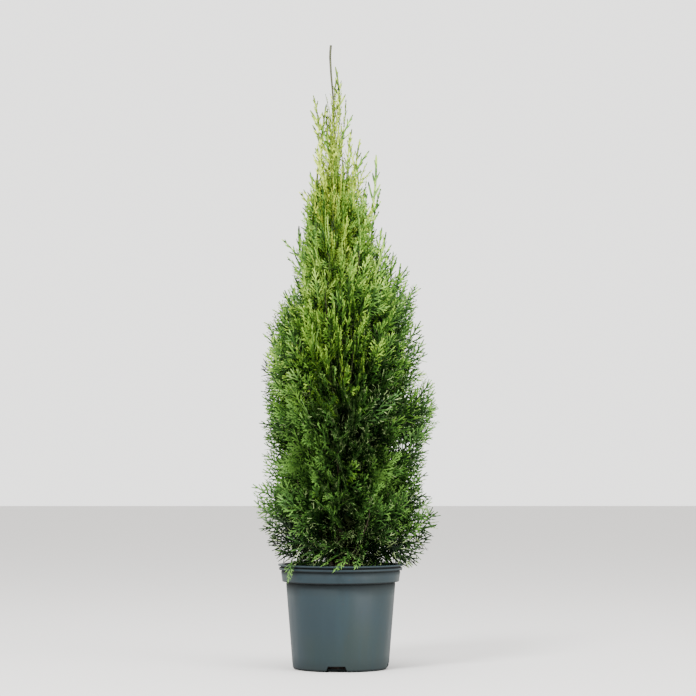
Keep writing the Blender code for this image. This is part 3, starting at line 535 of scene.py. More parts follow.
def growing_mix(settings):
    """Loose peat and bark: dark crumbs with paler fibres."""
    finish = Finish("growing_mix")
    crumbs, colour = finish.noise(240, 5), settings.mix_colour
    stops = ((0.30, scaled(colour, 0.45)), (0.52, colour), (0.78, scaled(colour, 3.2)))
    finish.paint(finish.ramp(crumbs, stops), 0.95)
    finish.bump(crumbs, 0.8, 0.002)
    return finish.material


def bark(name, colour, young=None):
    """Fibrous bark: long, narrow strips with darker furrows. It takes a young colour high on the trunk."""
    finish = Finish(name)
    fibres = finish.noise(420, 4, (1, 1, 0.10))
    patches = finish.noise(40, 3, (1, 1, 0.4))
    tint = finish.ramp(fibres, ((0.32, scaled(colour, 0.42)), (0.52, colour), (0.74, scaled(colour, 1.75))))
    grey = tuple(0.5 * part + 0.06 for part in colour)
    tint = finish.mix(finish.carry(patches, (0.50, 0.70), (0, 0.5)), tint, grey)
    if young:
        tint = finish.mix(finish.carry(finish.height(), YOUNG_TRUNK, (0, 1)), tint, young)
    finish.paint(tint, 0.85, 0.15)
    finish.bump(fibres, 0.7, 0.001)
    return finish.material


def leaf(name, colour):
    """Scale leaves of one green, which is plain, under a faint grain. The deeper greens are less glossy."""
    finish = Finish(name)
    finish.paint(colour, 0.38, blend(0.06, 0.22, min(1, colour[1] / 0.2)))
    finish.bump(finish.noise(900, 2), 0.3, 0.0004)
    return finish.material


def studio_paint(settings):
    finish = Finish("studio_paint")
    colour = settings.floor_colour
    finish.paint(finish.mix(finish.noise(60, 3), colour, scaled(colour, 0.97)), 0.8)
    return finish.material


# Meshes


def blend(low, high, share):
    return low + (high - low) * share


def evenly(first, last, count):
    return [blend(first, last, k / (count - 1)) for k in range(count)]


def read_table(table, height):
    """The values of a table at a height, blended between its rows."""
    for low, high in zip(table, table[1:]):
        if low[0] <= height <= high[0]:
            share = (height - low[0]) / (high[0] - low[0])
            return [blend(a, b, share) for a, b in zip(low[1:], high[1:])]
    return list(table[0][1:]) if height < table[0][0] else list(table[-1][1:])


def finish_piece(obj, name, replaced, materials):
    """Names a finished piece, gives it its materials, attaches it to the body and hides the parts it
    replaces.
    """
    obj.name = obj.data.name = name
    for made in materials:
        obj.data.materials.append(made)
    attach(obj, BODY)
    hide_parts(*replaced)


def deselect_all():
    for obj in bpy.context.view_layer.objects:
        obj.select_set(False)


def turn_up(profile, sides):
    """A turned solid: a disc at the profile's first point, drawn on from point to point."""
    deselect_all()
    (radius, height), *rest = profile
    place = (0, 0, height)
    bpy.ops.mesh.primitive_circle_add(vertices=sides, radius=radius, fill_type="NGON", location=place)
    bpy.ops.object.transform_apply(location=True, rotation=False, scale=False)
    bpy.ops.object.mode_set(mode="EDIT")
    bpy.ops.mesh.select_all(action="SELECT")
    for next_radius, next_height in rest:
        bpy.ops.mesh.extrude_region_move(TRANSFORM_OT_translate={"value": (0, 0, next_height - height)})
        share = next_radius / radius
        bpy.ops.transform.resize(value=(share, share, 1), center_override=(0, 0, 0))
        radius, height = next_radius, next_height
    bpy.ops.mesh.select_all(action="SELECT")
    bpy.ops.mesh.normals_make_consistent(inside=False)
    bpy.ops.object.mode_set(mode="OBJECT")
    return bpy.context.active_object


def joined_mesh(name, shapes):
    """One object of many small shapes: corners, triangles, and a slot for each triangle or one for all."""
    points, triangles, slots, count = [], [], [], 0
    for corners, faces, slot in shapes:
        points.append(corners)
        triangles.append(faces + count)
        slots.append(np.broadcast_to(slot, len(faces)))
        count += len(corners)
    points, triangles, slots = (np.concatenate(each) for each in (points, triangles, slots))
    mesh = bpy.data.meshes.new(name)
    mesh.vertices.add(len(points))
    mesh.vertices.foreach_set("co", points.astype(np.float32).ravel())
    mesh.loops.add(len(triangles) * 3)
    mesh.loops.foreach_set("vertex_index", triangles.astype(np.int32).ravel())
    mesh.polygons.add(len(triangles))
    mesh.polygons.foreach_set("loop_start", np.arange(0, len(triangles) * 3, 3, dtype=np.int32))
    mesh.polygons.foreach_set("material_index", slots.astype(np.int32))
    mesh.update(calc_edges=True)
    obj = bpy.data.objects.new(name, mesh)
    bpy.context.scene.collection.objects.link(obj)
    return obj


# Pot and growing mix


def body_radius(height):
    return blend(BODY_FOOT_RADIUS, BODY_TOP_RADIUS, height / COLLAR_FOOT)


def inside_of_pot(gap=0.0):
    inset = WALL + gap
    return [
        (body_radius(FLOOR) - inset, FLOOR + gap),
        (BODY_TOP_RADIUS - inset, COLLAR_FOOT + gap),
        (COLLAR_FOOT_RADIUS - inset, COLLAR_FOOT + STEP + gap),
    ]


def pot_profile():
    """Half of the pot's section, from the disc in its underside over the lip to the middle of its floor."""
    corner_foot = body_radius(CORNER) - CORNER
    turns = reversed(evenly(0, math.pi / 2, CORNER_POINTS))
    corner = [(corner_foot + CORNER * math.cos(turn), CORNER * (1 - math.sin(turn))) for turn in turns]
    ring_inside = corner_foot - FOOT_RING
    lip_inside = COLLAR_TOP_RADIUS - WALL
    return [
        (FOOT_DISC_RADIUS, 0),
        (FOOT_DISC_RADIUS + FOOT_RECESS, FOOT_RECESS),
        (ring_inside - FOOT_RECESS, FOOT_RECESS),
        (ring_inside, 0),
        *corner,
        (BODY_TOP_RADIUS, COLLAR_FOOT - STEP - UNDERCUT_HEIGHT),
        (BODY_TOP_RADIUS - UNDERCUT, COLLAR_FOOT - STEP),
        (COLLAR_FOOT_RADIUS - LIP_ROUND, COLLAR_FOOT),
        (COLLAR_FOOT_RADIUS, COLLAR_FOOT + LIP_ROUND),
        (COLLAR_TOP_RADIUS, COLLAR_TOP - UNDERCUT_HEIGHT),
        (COLLAR_TOP_RADIUS - UNDERCUT, COLLAR_TOP),
        (BEAD_RADIUS - LIP_ROUND, BEAD_FOOT),
        (BEAD_RADIUS, BEAD_FOOT + LIP_ROUND),
        (BEAD_RADIUS, GROOVE_FOOT - LIP_ROUND),
        (GROOVE_RADIUS, GROOVE_FOOT),
        (GROOVE_RADIUS, POT_HEIGHT - LIP_EDGE),
        (LIP_RADIUS - LIP_ROUND / 2, POT_HEIGHT - LIP_EDGE),
        (LIP_RADIUS, POT_HEIGHT - LIP_EDGE + LIP_ROUND),
        (LIP_RADIUS, POT_HEIGHT - LIP_ROUND),
        (LIP_RADIUS - LIP_ROUND, POT_HEIGHT),
        (lip_inside + LIP_ROUND, POT_HEIGHT),
        (lip_inside, POT_HEIGHT - LIP_ROUND),
        *reversed(inside_of_pot()),
        (FOOT_DISC_RADIUS, FLOOR),
    ]


def cut_notch(pot, number):
    """One trapezoid drain notch, cut out of the pot's bottom edge."""
    deselect_all()
    height = NOTCH_HEIGHT + NOTCH_BELOW
    radius = body_radius(CORNER) - CORNER - NOTCH_DEPTH
    bpy.ops.mesh.primitive_cube_add(size=1, location=(0, 0, 0))
    cutter = bpy.context.active_object
    widening = (NOTCH_FOOT_WIDTH - NOTCH_TOP_WIDTH) / NOTCH_HEIGHT * NOTCH_BELOW
    for vertex in cutter.data.vertices:
        width = NOTCH_TOP_WIDTH if vertex.co.z > 0 else NOTCH_FOOT_WIDTH + widening
        out = radius + (vertex.co.x + 0.5) * NOTCH_LENGTH
        level = (vertex.co.z + 0.5) * height - NOTCH_BELOW
        vertex.co = (out, vertex.co.y * width, level)
    cutter.data.transform(Matrix.Rotation(NOTCH_TURN + number * 2 * math.pi / NOTCHES, 4, "Z"))
    cut = pot.modifiers.new("notch", "BOOLEAN")
    cut.operation, cut.object, cut.solver = "DIFFERENCE", cutter, "EXACT"
    bpy.context.view_layer.objects.active = pot
    bpy.ops.object.modifier_apply(modifier=cut.name)
    bpy.data.objects.remove(cutter)


class ARBOR_OT_pot(bpy.types.Operator):
    """Turns the nursery pot and cuts its drain notches."""

    bl_idname = "arbor.pot"
    bl_label = "Nursery Pot"

    def execute(self, context):
        pot = turn_up(pot_profile(), POT_SIDES)
        for number in range(NOTCHES):
            cut_notch(pot, number)
        deselect_all()
        pot.select_set(True)
        context.view_layer.objects.active = pot
        bpy.ops.object.shade_smooth_by_angle(angle=SMOOTH_BELOW)
        finish_piece(pot, "nursery_pot", ["pot"], [pot_plastic(context.scene.arbor_pot)])
        return {"FINISHED"}


def mix_level(radius):
    return MIX_TOP - MIX_SLOPE * radius / (COLLAR_FOOT_RADIUS - WALL)


def crumb_shape(rng):
    """A rough, flattened lump."""
    bm = bmesh.new()
    bmesh.ops.create_cube(bm, size=1)
    for vertex in bm.verts:
        vertex.co = Vector([part * rng.uniform(*CRUMB_CORNERS) for part in vertex.co])
        vertex.co.z *= 0.5
    bmesh.ops.triangulate(bm, faces=bm.faces)
    bm.verts.index_update()
    points = np.array([vertex.co for vertex in bm.verts])
    triangles = np.array([[vertex.index for vertex in face.verts] for face in bm.faces])
    bm.free()
    return points, triangles


def strewn_crumbs(count, edge):
    rng = random.Random(CRUMB_SEED)
    kinds = [crumb_shape(rng) for _ in range(CRUMB_KINDS)]
    for _ in range(count):
        points, triangles = rng.choice(kinds)
        radius, turn = edge * CRUMB_EDGE * math.sqrt(rng.random()), rng.uniform(0, 2 * math.pi)
        place = outward(turn) * radius + UP * mix_level(radius)
        tilt = Matrix.Rotation(rng.uniform(-CRUMB_TILT, CRUMB_TILT), 3, "X")
        tilt = tilt @ Matrix.Rotation(rng.uniform(*ANY_TURN), 3, "Z")
        yield points @ (np.array(tilt).T * rng.uniform(*CRUMB_SIZES)) + np.array(place), triangles, 0


class ARBOR_OT_growing_mix(bpy.types.Operator):
    """Fills the pot with growing mix, roughens its surface and strews crumbs on it."""

    bl_idname = "arbor.growing_mix"
    bl_label = "Growing Mix"

    def execute(self, context):
        settings = context.scene.arbor_pot
        edge = COLLAR_FOOT_RADIUS - WALL - MIX_CLEAR
        surface = [(edge * share, mix_level(edge * share)) for share in evenly(1, MIX_MIDDLE, MIX_RINGS)]
        (foot, _), *side = inside_of_pot(MIX_CLEAR)
        low = [(foot - MIX_INSET, MIX_FOOT), (foot - MIX_INSET, NOTCH_HEIGHT), (foot, MIX_SHOULDER)]
        mix = turn_up([*low, *side, *surface], MIX_SIDES)
        for vertex in mix.data.vertices:
            place = vertex.co.copy()
            inside = math.hypot(place.x, place.y) < edge * RELIEF_EDGE
            if inside and place.z > COLLAR_FOOT + STEP + MIX_CLEAR * 2:
                relief = sum(noise.noise(place * scale) * height for scale, height in MIX_RELIEF)
                vertex.co.z += relief - MIX_SINK
        finish = growing_mix(settings)
        finish_piece(mix, "growing_mix_fill", ["growing_mix"], [finish])
        crumbs = joined_mesh("crumbs", strewn_crumbs(settings.crumbs, edge))
        finish_piece(crumbs, "growing_mix_crumbs", [], [finish])
        return {"FINISHED"}


# The crown's shape and its limbs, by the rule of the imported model


def outward(azimuth):
    return Vector((math.cos(azimuth), math.sin(azimuth), 0))


def climbing(azimuth, climb):
    return outward(azimuth) * math.cos(climb) + UP * math.sin(climb)


def trunk_axis(height):
    climb = max(0.0, (height - MIX_TOP) / (TREE_TOP - MIX_TOP))
    sway = SWAY * math.sin(climb * SWAY_TURN)
    return Vector((LEAN * climb**LEAN_GATHER + sway / 2, sway, height))


def beside_trunk(degrees, reach, height):
    return trunk_axis(height) + outward(math.radians(degrees)) * reach


def trunk_radius(height):
    climb = (height - MIX_TOP) / (TRUNK_TOP - MIX_TOP)
    flare = FLARE * max(0.0, 1 - (height - MIX_TOP) / FLARE_HEIGHT) ** 2
    return blend(TRUNK_FOOT_RADIUS, TRUNK_TIP_RADIUS, min(max(climb, 0), 1)) + flare


def crown_reach(azimuth, height):
    left, right = read_table(CROWN_REACH, height)
    return blend(left, right, (1 + math.cos(azimuth)) / 2)


def curve_through(start, start_way, end, end_way, pieces=CURVE_PIECES):
    """Points along a smooth curve that leaves and arrives by the two ways."""
    points = []
    for s in evenly(0, 1, pieces + 1):
        early, late = 2 * s**3 - 3 * s**2 + 1, 3 * s**2 - 2 * s**3
        leaving, arriving = s**3 - 2 * s**2 + s, s**3 - s**2
        points.append(start * early + end * late + start_way * leaving + end_way * arriving)
    return points


def zone_at(height):
    return next(zone for zone in ZONES if height <= zone.top)


def lay_out_leader():
    stem = [trunk_axis(height) for height in evenly(TRUNK_TOP - LEADER_OVERLAP, BARE_LEADER, LEADER_PIECES)]
    zone, heart = zone_at(LEADER_HEART), trunk_axis(LEADER_HEART)
    return Mass("leader_foliage", zone, heart, [], stem, LEADER_FOOT_RADIUS)


def lay_out_mass(name, azimuth, height):
    """Heart, bough and stem of one mass that stands beside the trunk."""
    zone, way = zone_at(height), outward(azimuth)

    def place(level, share):
        return trunk_axis(level) + way * crown_reach(azimuth, level) * share

    fork = max(height - (BOUGH_DROP if zone.boughs else STEM_DROP), LOWEST_FORK)
    foot = trunk_axis(fork) + way * trunk_radius(fork) * BOUGH_ROOT
    top = place(height + STEM_RISE, STEM_OUT)
    bough, stem_way = [], way
    if zone.boughs:
        entry = place(max(height - ENTRY_DROP, fork + ENTRY_CLIMB), ENTRY_OUT)
        run = (entry - foot).length
        bough = curve_through(foot, way * run, entry, (top - entry).normalized() * run)
        stem_way = (bough[-1] - bough[-2]).normalized()
        foot = entry
    run = (top - foot).length
    stem = curve_through(foot, stem_way * run, top, UP * run)
    return Mass(name, zone, place(height, HEART_OUT), bough, stem, STEM_TIP_RADIUS)


def lay_out_crown():
    masses = []
    height, azimuth = FIRST_HEART, FIRST_TURN
    number = {zone.name: 0 for zone in ZONES}
    while zone_at(height).name != "leader":
        zone = zone_at(height).name
        number[zone] += 1
        masses.append(lay_out_mass(f"{zone}_foliage_{number[zone]}", azimuth, height))
        height += MASS_AREA / (2 * math.pi * crown_reach(math.pi / 2, height))
        azimuth += GOLDEN_ANGLE
    return [*masses, lay_out_leader()]


def nearest_masses(point, masses):
    """The nearest mass, and how much nearer it is than the next one."""

    def distance(mass):
        away = point - mass.heart
        return Vector((away.x, away.y, away.z * SPACE_STRETCH)).length

    first, second = sorted(masses, key=distance)[:2]
    return first, distance(second) - distance(first)


# Trunk and boughs


def limb_curve(limbs, sides):
    """Round, tapering limbs along curves, turned into one mesh. Each limb is its points and their radii."""
    deselect_all()
    bpy.ops.curve.primitive_bezier_curve_add()
    curve = bpy.context.active_object.data
    curve.splines.clear()
    curve.dimensions = "3D"
    curve.bevel_depth = 1.0
    curve.bevel_resolution = sides // 2 - 2
    curve.use_fill_caps = True
    for points, radii in limbs:
        spline = curve.splines.new("POLY")
        spline.points.add(len(points) - 1)
        for corner, point, radius in zip(spline.points, points, radii):
            corner.co = (*point, 1)
            corner.radius = radius
    bpy.ops.object.convert(target="MESH")
    return bpy.context.active_object


def drawn_fine(points, step):
    """The points of a path, laid closer, no further apart than a step."""
    fine = [points[0]]
    for low, high in zip(points, points[1:]):
        count = max(1, math.ceil((high - low).length / step))
        fine += [low.lerp(high, k / count) for k in range(1, count + 1)]
    return fine


def add_fibres(obj, depth):
    """Raises long fibres on bark, deepest low on the trunk."""
    normals = [vertex.normal.copy() for vertex in obj.data.vertices]
    for vertex, way in zip(obj.data.vertices, normals):
        x, y, z = vertex.co
        relief = -FIBRE_SINK
        for across, along, shift, share in FIBRES:
            relief += share * noise.noise(Vector((x * across + shift, y * across, z * along)))
        fade = min(1, max(LEAST_FIBRE, FIBRE_FADE - (z - MIX_TOP)))
        vertex.co += way * depth * fade * relief


class ARBOR_OT_trunk(bpy.types.Operator):
    """Grows the trunk, with its root flare and the relief of its fibrous bark."""

    bl_idname = "arbor.trunk"
    bl_label = "Trunk"

    def execute(self, context):
        settings = context.scene.arbor_tree
        heights = evenly(TRUNK_FOOT, TRUNK_TOP, round((TRUNK_TOP - TRUNK_FOOT) / BARK_STEP))
        limb = ([trunk_axis(height) for height in heights], [trunk_radius(height) for height in heights])
        trunk = limb_curve([limb], TRUNK_SIDES)
        add_fibres(trunk, settings.relief)
        finish = bark("trunk_bark", settings.bark_colour, settings.fresh_colour)
        finish_piece(trunk, "trunk_bark", ["trunk"], [finish])
        return {"FINISHED"}


class ARBOR_OT_boughs(bpy.types.Operator):
    """Grows the boughs out of the trunk, with the relief of their bark."""

    bl_idname = "arbor.boughs"
    bl_label = "Boughs"

    def execute(self, context):
        settings = context.scene.arbor_tree
        limbs, replaced = [], []
        for mass in tree_growth(context).masses:
            if mass.bough:
                points = drawn_fine(mass.bough, BARK_STEP)
                limbs.append((points, evenly(BOUGH_FOOT_RADIUS, BOUGH_TIP_RADIUS, len(points))))
                replaced.append(mass.name.replace("foliage", "bough"))
        boughs = limb_curve(limbs, BOUGH_SIDES)
        add_fibres(boughs, settings.relief / 2)
        finish_piece(boughs, "boughs_bark", replaced, [bark("bough_bark", settings.bark_colour)])
        return {"FINISHED"}


# Forms of spray, one unit long, along +Y in the XY plane


def path_point(path, share):
    """The point at a share of a path's corners."""
    place = share * (len(path) - 1)
    first = min(int(place), len(path) - 2)
    return path[first].lerp(path[first + 1], place - first)


class FormMaker:
    """Grows a form of spray. Each leaf is two triangles, folded corner to corner and widest at its end."""

    def __init__(self, shape, leaf_width, rng):
        self.shape = shape
        self.half_width = leaf_width * shape.width / 2 / shape.length
        self.step = LEAF_STEP / shape.length
        self.rng = rng
        self.points, self.triangles, self.shades, self.glints = [], [], [], []

    def add_leaf(self, start, end, width, shade, glint, last):
        way = end - start
        side = Vector((way.y, -way.x, 0)).normalized() * self.half_width * width
        fold = Vector((0, 0, self.half_width * width * LEAF_FOLD))
        foot, tip = side * LEAF_FOOT, side * (LEAF_TIP if last else 1)
        first = len(self.points)
        self.points += [start + foot, end + tip - fold, end - tip, start - foot - fold]
        self.triangles += [(first, first + 1, first + 2), (first, first + 2, first + 3)]
        self.shades += [shade * self.shape.contrast + self.rng.gauss(0, self.shape.variety)] * 2
        self.glints += [glint] * 2

    def add_branchlet(self, start, way, length, curl, width, shades, glint_share=GLINT_SHARE):
        """A row of leaves that bends by the curl, and its points."""
        count = max(1, round(length / self.step))
        glints = self.rng.random() < glint_share
        points = [start]
        for k in range(count):
            way = (Matrix.Rotation(curl / count, 3, "Z") @ way).normalized()
            points.append(points[-1] + way * length / count)
            share = (k + 1) / count
            glint = glints and share > GLINT_FROM
            wide = width * blend(*SIDE_TAPER, share) * (GLINT_WIDTH if glint else 1)
            self.add_leaf(*points[-2:], wide, blend(*shades, share**SHADE_CURVE), glint, k == count - 1)
        return points

    def grow(self):
        """A bent axis, branchlets in turn on its two hands, and forks on the long ones."""
        rng, shape = self.rng, self.shape
        bend = rng.uniform(-AXIS_BEND, AXIS_BEND)
        way = Vector((math.sin(bend / 2), math.cos(bend / 2), 0))
        axis = self.add_branchlet(Vector(), way, 1.0, bend, AXIS_WIDTH, AXIS_SHADES, 0)
        sides = rng.randint(*shape.sides)
        for k in range(sides):
            share = FIRST_SIDE + SIDES_REACH * (k + rng.uniform(-SIDE_SCATTER, SIDE_SCATTER)) / sides
            hand = 1 if k % 2 else -1
            angle = blend(shape.open_angle, shape.close_angle, share) * rng.uniform(*ANGLE_SCATTER)
            length = shape.longest * LENGTH_GAIN * (1 - share) ** LENGTH_TAPER
            length *= min(1, FOOT_SHARE + FOOT_GROWTH * share) * rng.uniform(*LENGTH_SCATTER)
            place = path_point(axis, share)
            along = (path_point(axis, min(1, share + LOOK_AHEAD)) - place).normalized()
            way = Matrix.Rotation(-hand * math.radians(angle), 3, "Z") @ along + UP * rng.uniform(-ROLL, ROLL)
            shade = blend(*SIDE_SHADES, share) + rng.gauss(0, SHADE_SCATTER)
            curl = hand * math.radians(rng.uniform(*CURLS))
            shades = [shade + change for change in SHADE_RISE]
            branchlet = self.add_branchlet(place, way, length, curl, SIDE_WIDTH, shades)
            if length > FORK_FROM:
                for m in range(shape.forks):
                    self.add_fork(branchlet, way, length, hand if m % 2 else -hand, shade, m)
        return Form(*(np.array(each) for each in (self.points, self.triangles, self.shades, self.glints)))

    def add_fork(self, branchlet, way, length, hand, shade, number):
        angle = hand * math.radians(self.rng.uniform(*FORK_ANGLES))
        share = self.rng.uniform(*FORK_PLACES) + NEXT_FORK * number
        way = Matrix.Rotation(angle, 3, "Z") @ way
        length *= (1 - share) * self.rng.uniform(*FORK_LENGTHS)
        shades = (shade, shade + FORK_SHADE)
        self.add_branchlet(path_point(branchlet, share), way, length, 0, FORK_WIDTH, shades)


@functools.cache
def spray_forms(leaf_width):
    """The forms of each shape of spray, by its name."""
    rng = random.Random(FORM_SEED)
    return {
        name: [FormMaker(shape, leaf_width, rng).grow() for _ in range(VARIANTS)]
        for name, shape in SPRAY_SHAPES.items()
    }


# Growth of twigs and sprays


def away_from_trunk(place):
    """How far a place stands from the trunk's middle, and on which azimuth."""
    axis = trunk_axis(place.z)
    return math.hypot(place.x - axis.x, place.y - axis.y), math.atan2(place.y - axis.y, place.x - axis.x)


def in_crown(place, slack):
    away, azimuth = away_from_trunk(place)
    return place.z < TREE_TOP and away < crown_reach(azimuth, place.z) * slack + REACH_MARGIN


def hits_pot(place):
    """Whether a place is in or right beside the pot's wall or below the growing mix."""
    radius = math.hypot(place.x, place.y)
    if radius > COLLAR_TOP_RADIUS - WALL - ROOM_INSIDE:
        return place.z < POT_HEIGHT + ROOM_ABOVE and radius < LIP_RADIUS + ROOM_OUTSIDE
    return place.z < MIX_TOP - ROOM_BELOW


def in_sky_opening(place):
    offsets = (((place.x - x) / wide, (place.z - z) / tall) for x, z, wide, tall in SKY_OPENINGS)
    return any(math.hypot(*offset) < 1 for offset in offsets)


def root_for(tip, mass, way):
    """The place on the mass's stem from which a twig runs most nearly along the way to the tip."""
    places = [low.lerp(high, share) for low, high in zip(mass.stem, mass.stem[1:]) for share in (0, 0.5)]
    return min(places, key=lambda place: abs((tip - place).normalized().z - way.z))


class Growth:
    """The twigs and sprays that grow from the stems of the masses, out to the crown's reach."""

    def __init__(self, seed, leaf_width):
        self.rng = random.Random(seed)
        self.forms = spray_forms(leaf_width)
        self.masses = lay_out_crown()
        self.twigs = []
        self.sprays = {mass.name: [] for mass in self.masses}
        for mass in self.masses:
            self.grow_stem(mass)
        heights = evenly(BARE_LEADER, TREE_TOP + LEADER_RISE, BARE_PIECES)
        bare = [trunk_axis(height) + TO_THE_RIGHT * read_table(LEADER_BENDS, height)[0] for height in heights]
        self.twigs.append(Twig(bare, (LEADER_FOOT_RADIUS, LEADER_TIP_RADIUS), LEADER_BARK))
        for layer in LAYERS:
            self.grow_layer(layer)
        self.grow_whips()
        for *tip, climb, length in TOP_SHOOTS:
            self.grow_shoot("whip", tip, climb, length, SHOOT_TONE)
        for tip in PLUMES:
            self.grow_shoot("plume", tip, read_table(LIFTS, tip[-1])[0], PLUME_LENGTH, PLUME_TONE)
        for tip in OUTLINE_TWIGS:
            self.grow_twig(beside_trunk(*tip), LAYERS[0], OUTLINE_REACH)
        for foot, tip in HANGING:
            self.grow_hanging(foot, tip)

    def grow_stem(self, mass):
        """A mass's stem. A slim spray runs along the end of those that stand free round the leader."""
        bark_number = STEM_BARK if mass.zone.boughs else TWIG_BARK
        self.twigs.append(Twig(mass.stem, (STEM_FOOT_RADIUS, mass.tip_radius), bark_number))
        if mass.zone.name == "spire":
            base, run = mass.stem[-3], mass.stem[-1] - mass.stem[-3]
            way, length = run.normalized(), run.length * STEM_END_LENGTH
            across = self.across(way, base, STEM_END_ROLL)
            self.place_spray(mass, "whip", base, across, way, length, STEM_END_TONE)

    def grow_layer(self, layer):
        height, azimuth = layer.foot, self.rng.uniform(*ANY_TURN)
        while height < layer.top:
            reach = crown_reach(azimuth, height)
            share = self.rng.uniform(*layer.out)
            way = outward(azimuth + self.rng.uniform(-TURN_SCATTER, TURN_SCATTER))
            self.grow_twig(trunk_axis(height) + way * reach * share, layer)
            azimuth += GOLDEN_ANGLE
            spacing = layer.spacing * min(1, SLIM_SPACING + reach * SPACING_GROWTH)
            height += spacing**2 / (2 * math.pi * max(reach * layer.out[1], LEAST_REACH))

    def way_at(self, tip):
        """The way that a spray takes at a place in the crown."""
        azimuth = away_from_trunk(tip)[1] + self.rng.gauss(0, WANDER)
        climb = math.radians(read_table(LIFTS, tip.z)[0]) + self.rng.gauss(0, LIFT_WANDER)
        return climbing(azimuth, climb).normalized()

    def across(self, way, place, roll):
        """The way across a spray, whose plane is upright and runs out from the trunk, give or take a roll."""
        away = place - trunk_axis(place.z)
        flat = UP.cross(Vector((away.x, away.y, 0))).cross(way).normalized()
        return Matrix.Rotation(self.rng.gauss(0, roll), 3, way) @ flat * self.rng.choice((1, -1))

    def tone_at(self, place, tone, lead):
        """How light a spray's green is: lighter at the top, in lit places and away from other masses."""
        climb = (place.z - MIX_TOP) / (TREE_TOP - MIX_TOP)
        for middle, radius, change in LIGHT_AND_SHADE:
            tone += change * max(0, 1 - (place - Vector(middle)).length / radius)
        clump = noise.noise(place * CLUMP_SCALE) * CLUMP_TONE
        edge = min(1, lead / EDGE_LEAD) - EDGE_SHADE
        low = LOW_SHADE * max(0, 1 - (place.z - POT_HEIGHT) / LOW_SHADE_HEIGHT)
        tone += TONE_GROWTH * climb + TONE_START + clump + edge - low + self.rng.gauss(0, TONE_SCATTER)
        return max(tone, read_table(DARKEST, place.z)[0])

    def shape_at(self, height):
        if height + self.rng.gauss(0, SKIRT_BLUR) < SKIRT_TOP:
            return "skirt"
        if height + self.rng.gauss(0, WHIP_BLUR) > WHIPS_FROM:
            return "whip"
        return "plume" if height + self.rng.gauss(0, PLUME_BLUR) > PLUMES_FROM else "fan"

    def add_spray(self, mass, shape, base, across, way, size, tone, slack=SPRAY_REACH):
        """A spray of one of its shape's forms, shortened or left out where it would leave the crown."""
        for share in SPRAY_SHARES:
            length = SPRAY_SHAPES[shape].length * size * share
            tip = base + way * length
            low = tip.z <= LOWEST_TIP or hits_pot(tip) or hits_pot(base + way * length * 0.5)
            if in_crown(tip, slack) and not low:
                self.place_spray(mass, shape, base, across, way, length, tone)
                return

    def place_spray(self, mass, shape, base, across, way, length, tone):
        if any(in_sky_opening(base + way * length * share) for share in OPENING_SHARES):
            return
        form = self.rng.choice(self.forms[shape])
        height = base.z + self.rng.gauss(0, GREENS_BLUR)
        greens = sum(height > meeting for meeting in GREENS_MEET)
        self.sprays[mass.name].append(Spray(form, base, across, way, length, tone, greens))

    def grow_twig(self, tip, layer, slack=SPRAY_REACH):
        """A twig from the nearest mass's stem, with a spray at its end and others on its sides."""
        mass, lead = nearest_masses(tip, self.masses)
        if slack < OUTLINE_REACH:
            axis = trunk_axis(tip.z)
            tip = axis + (tip - axis) * (1 - DRAWN_IN + DRAWN_IN * min(1, lead / DRAWN_LEAD))
        shape = layer.shape or self.shape_at(tip.z)
        size = (NEAR_SIZE + SIZE_GROWTH * away_from_trunk(tip)[0]) * self.rng.uniform(*SIZE_SCATTER)
        way = self.way_at(tip)
        base = tip - way * SPRAY_SHAPES[shape].length * size
        root = root_for(base, mass, way)
        run = (base - root).length * TWIG_BOW
        rise = ((base - root).normalized() + UP * TWIG_RISE) * run
        path = curve_through(root, rise, base, way * run, TWIG_PIECES)
        if any(hits_pot(place) for place in path[1:]):
            return
        self.twigs.append(Twig(path, TWIG_RADII, TWIG_BARK))
        tone = self.tone_at(tip, layer.tone, lead)
        across = self.across(way, base, ROLL_SPREAD)
        self.add_spray(mass, shape, base - way * OVERLAP, across, way, size, tone, slack)
        for k in range(layer.side_sprays):
            angle = (-1) ** k * math.radians(self.rng.uniform(*SIDE_ANGLES))
            turn = Matrix.Rotation(angle, 3, across.cross(way))
            wander = Vector([self.rng.gauss(0, SIDE_WANDER) for _ in range(3)])
            side_way = (turn @ way + wander).normalized()
            side_across = (across - side_way * across.dot(side_way)).normalized()
            place = path_point(path, SIDE_PLACE - SIDE_STEP * k)
            side_tone = tone - SIDE_FADE * k + self.rng.gauss(0, SIDE_TONE_SCATTER)
            side_size = size * self.rng.uniform(*SIDE_SIZES)
            self.add_spray(mass, shape, place, side_across, side_way, side_size, side_tone, slack)

    def grow_whips(self):
        """Slim shoots that leave the leader steeply, on all sides."""
        for k in range(WHIPS):
            way = climbing(k * GOLDEN_ANGLE, math.radians(self.rng.uniform(*WHIP_CLIMBS)))
            length = blend(*WHIP_LENGTHS, k / WHIPS) * self.rng.uniform(*WHIP_SCATTER)
            size = length / SPRAY_SHAPES["whip"].length
            self.add_whip(trunk_axis(WHIP_FOOT + k * WHIP_STEP), way, size, WHIP_TONE)
        for k in range(SLEEVE_WHIPS):
            way = climbing(k * GOLDEN_ANGLE, math.radians(self.rng.uniform(*SLEEVE_CLIMBS)))
            base = trunk_axis(SLEEVE_FOOT + k * SLEEVE_STEP) + outward(k * GOLDEN_ANGLE) * SLEEVE_OUT
            self.add_whip(base, way, self.rng.uniform(*SLEEVE_SIZES), SLEEVE_TONE)

    def add_whip(self, base, way, size, tone):
        tone += self.rng.gauss(0, WHIP_TONE_SCATTER)
        self.add_spray(self.masses[-1], "whip", base, self.across(way, base, WHIP_ROLL), way, size, tone)

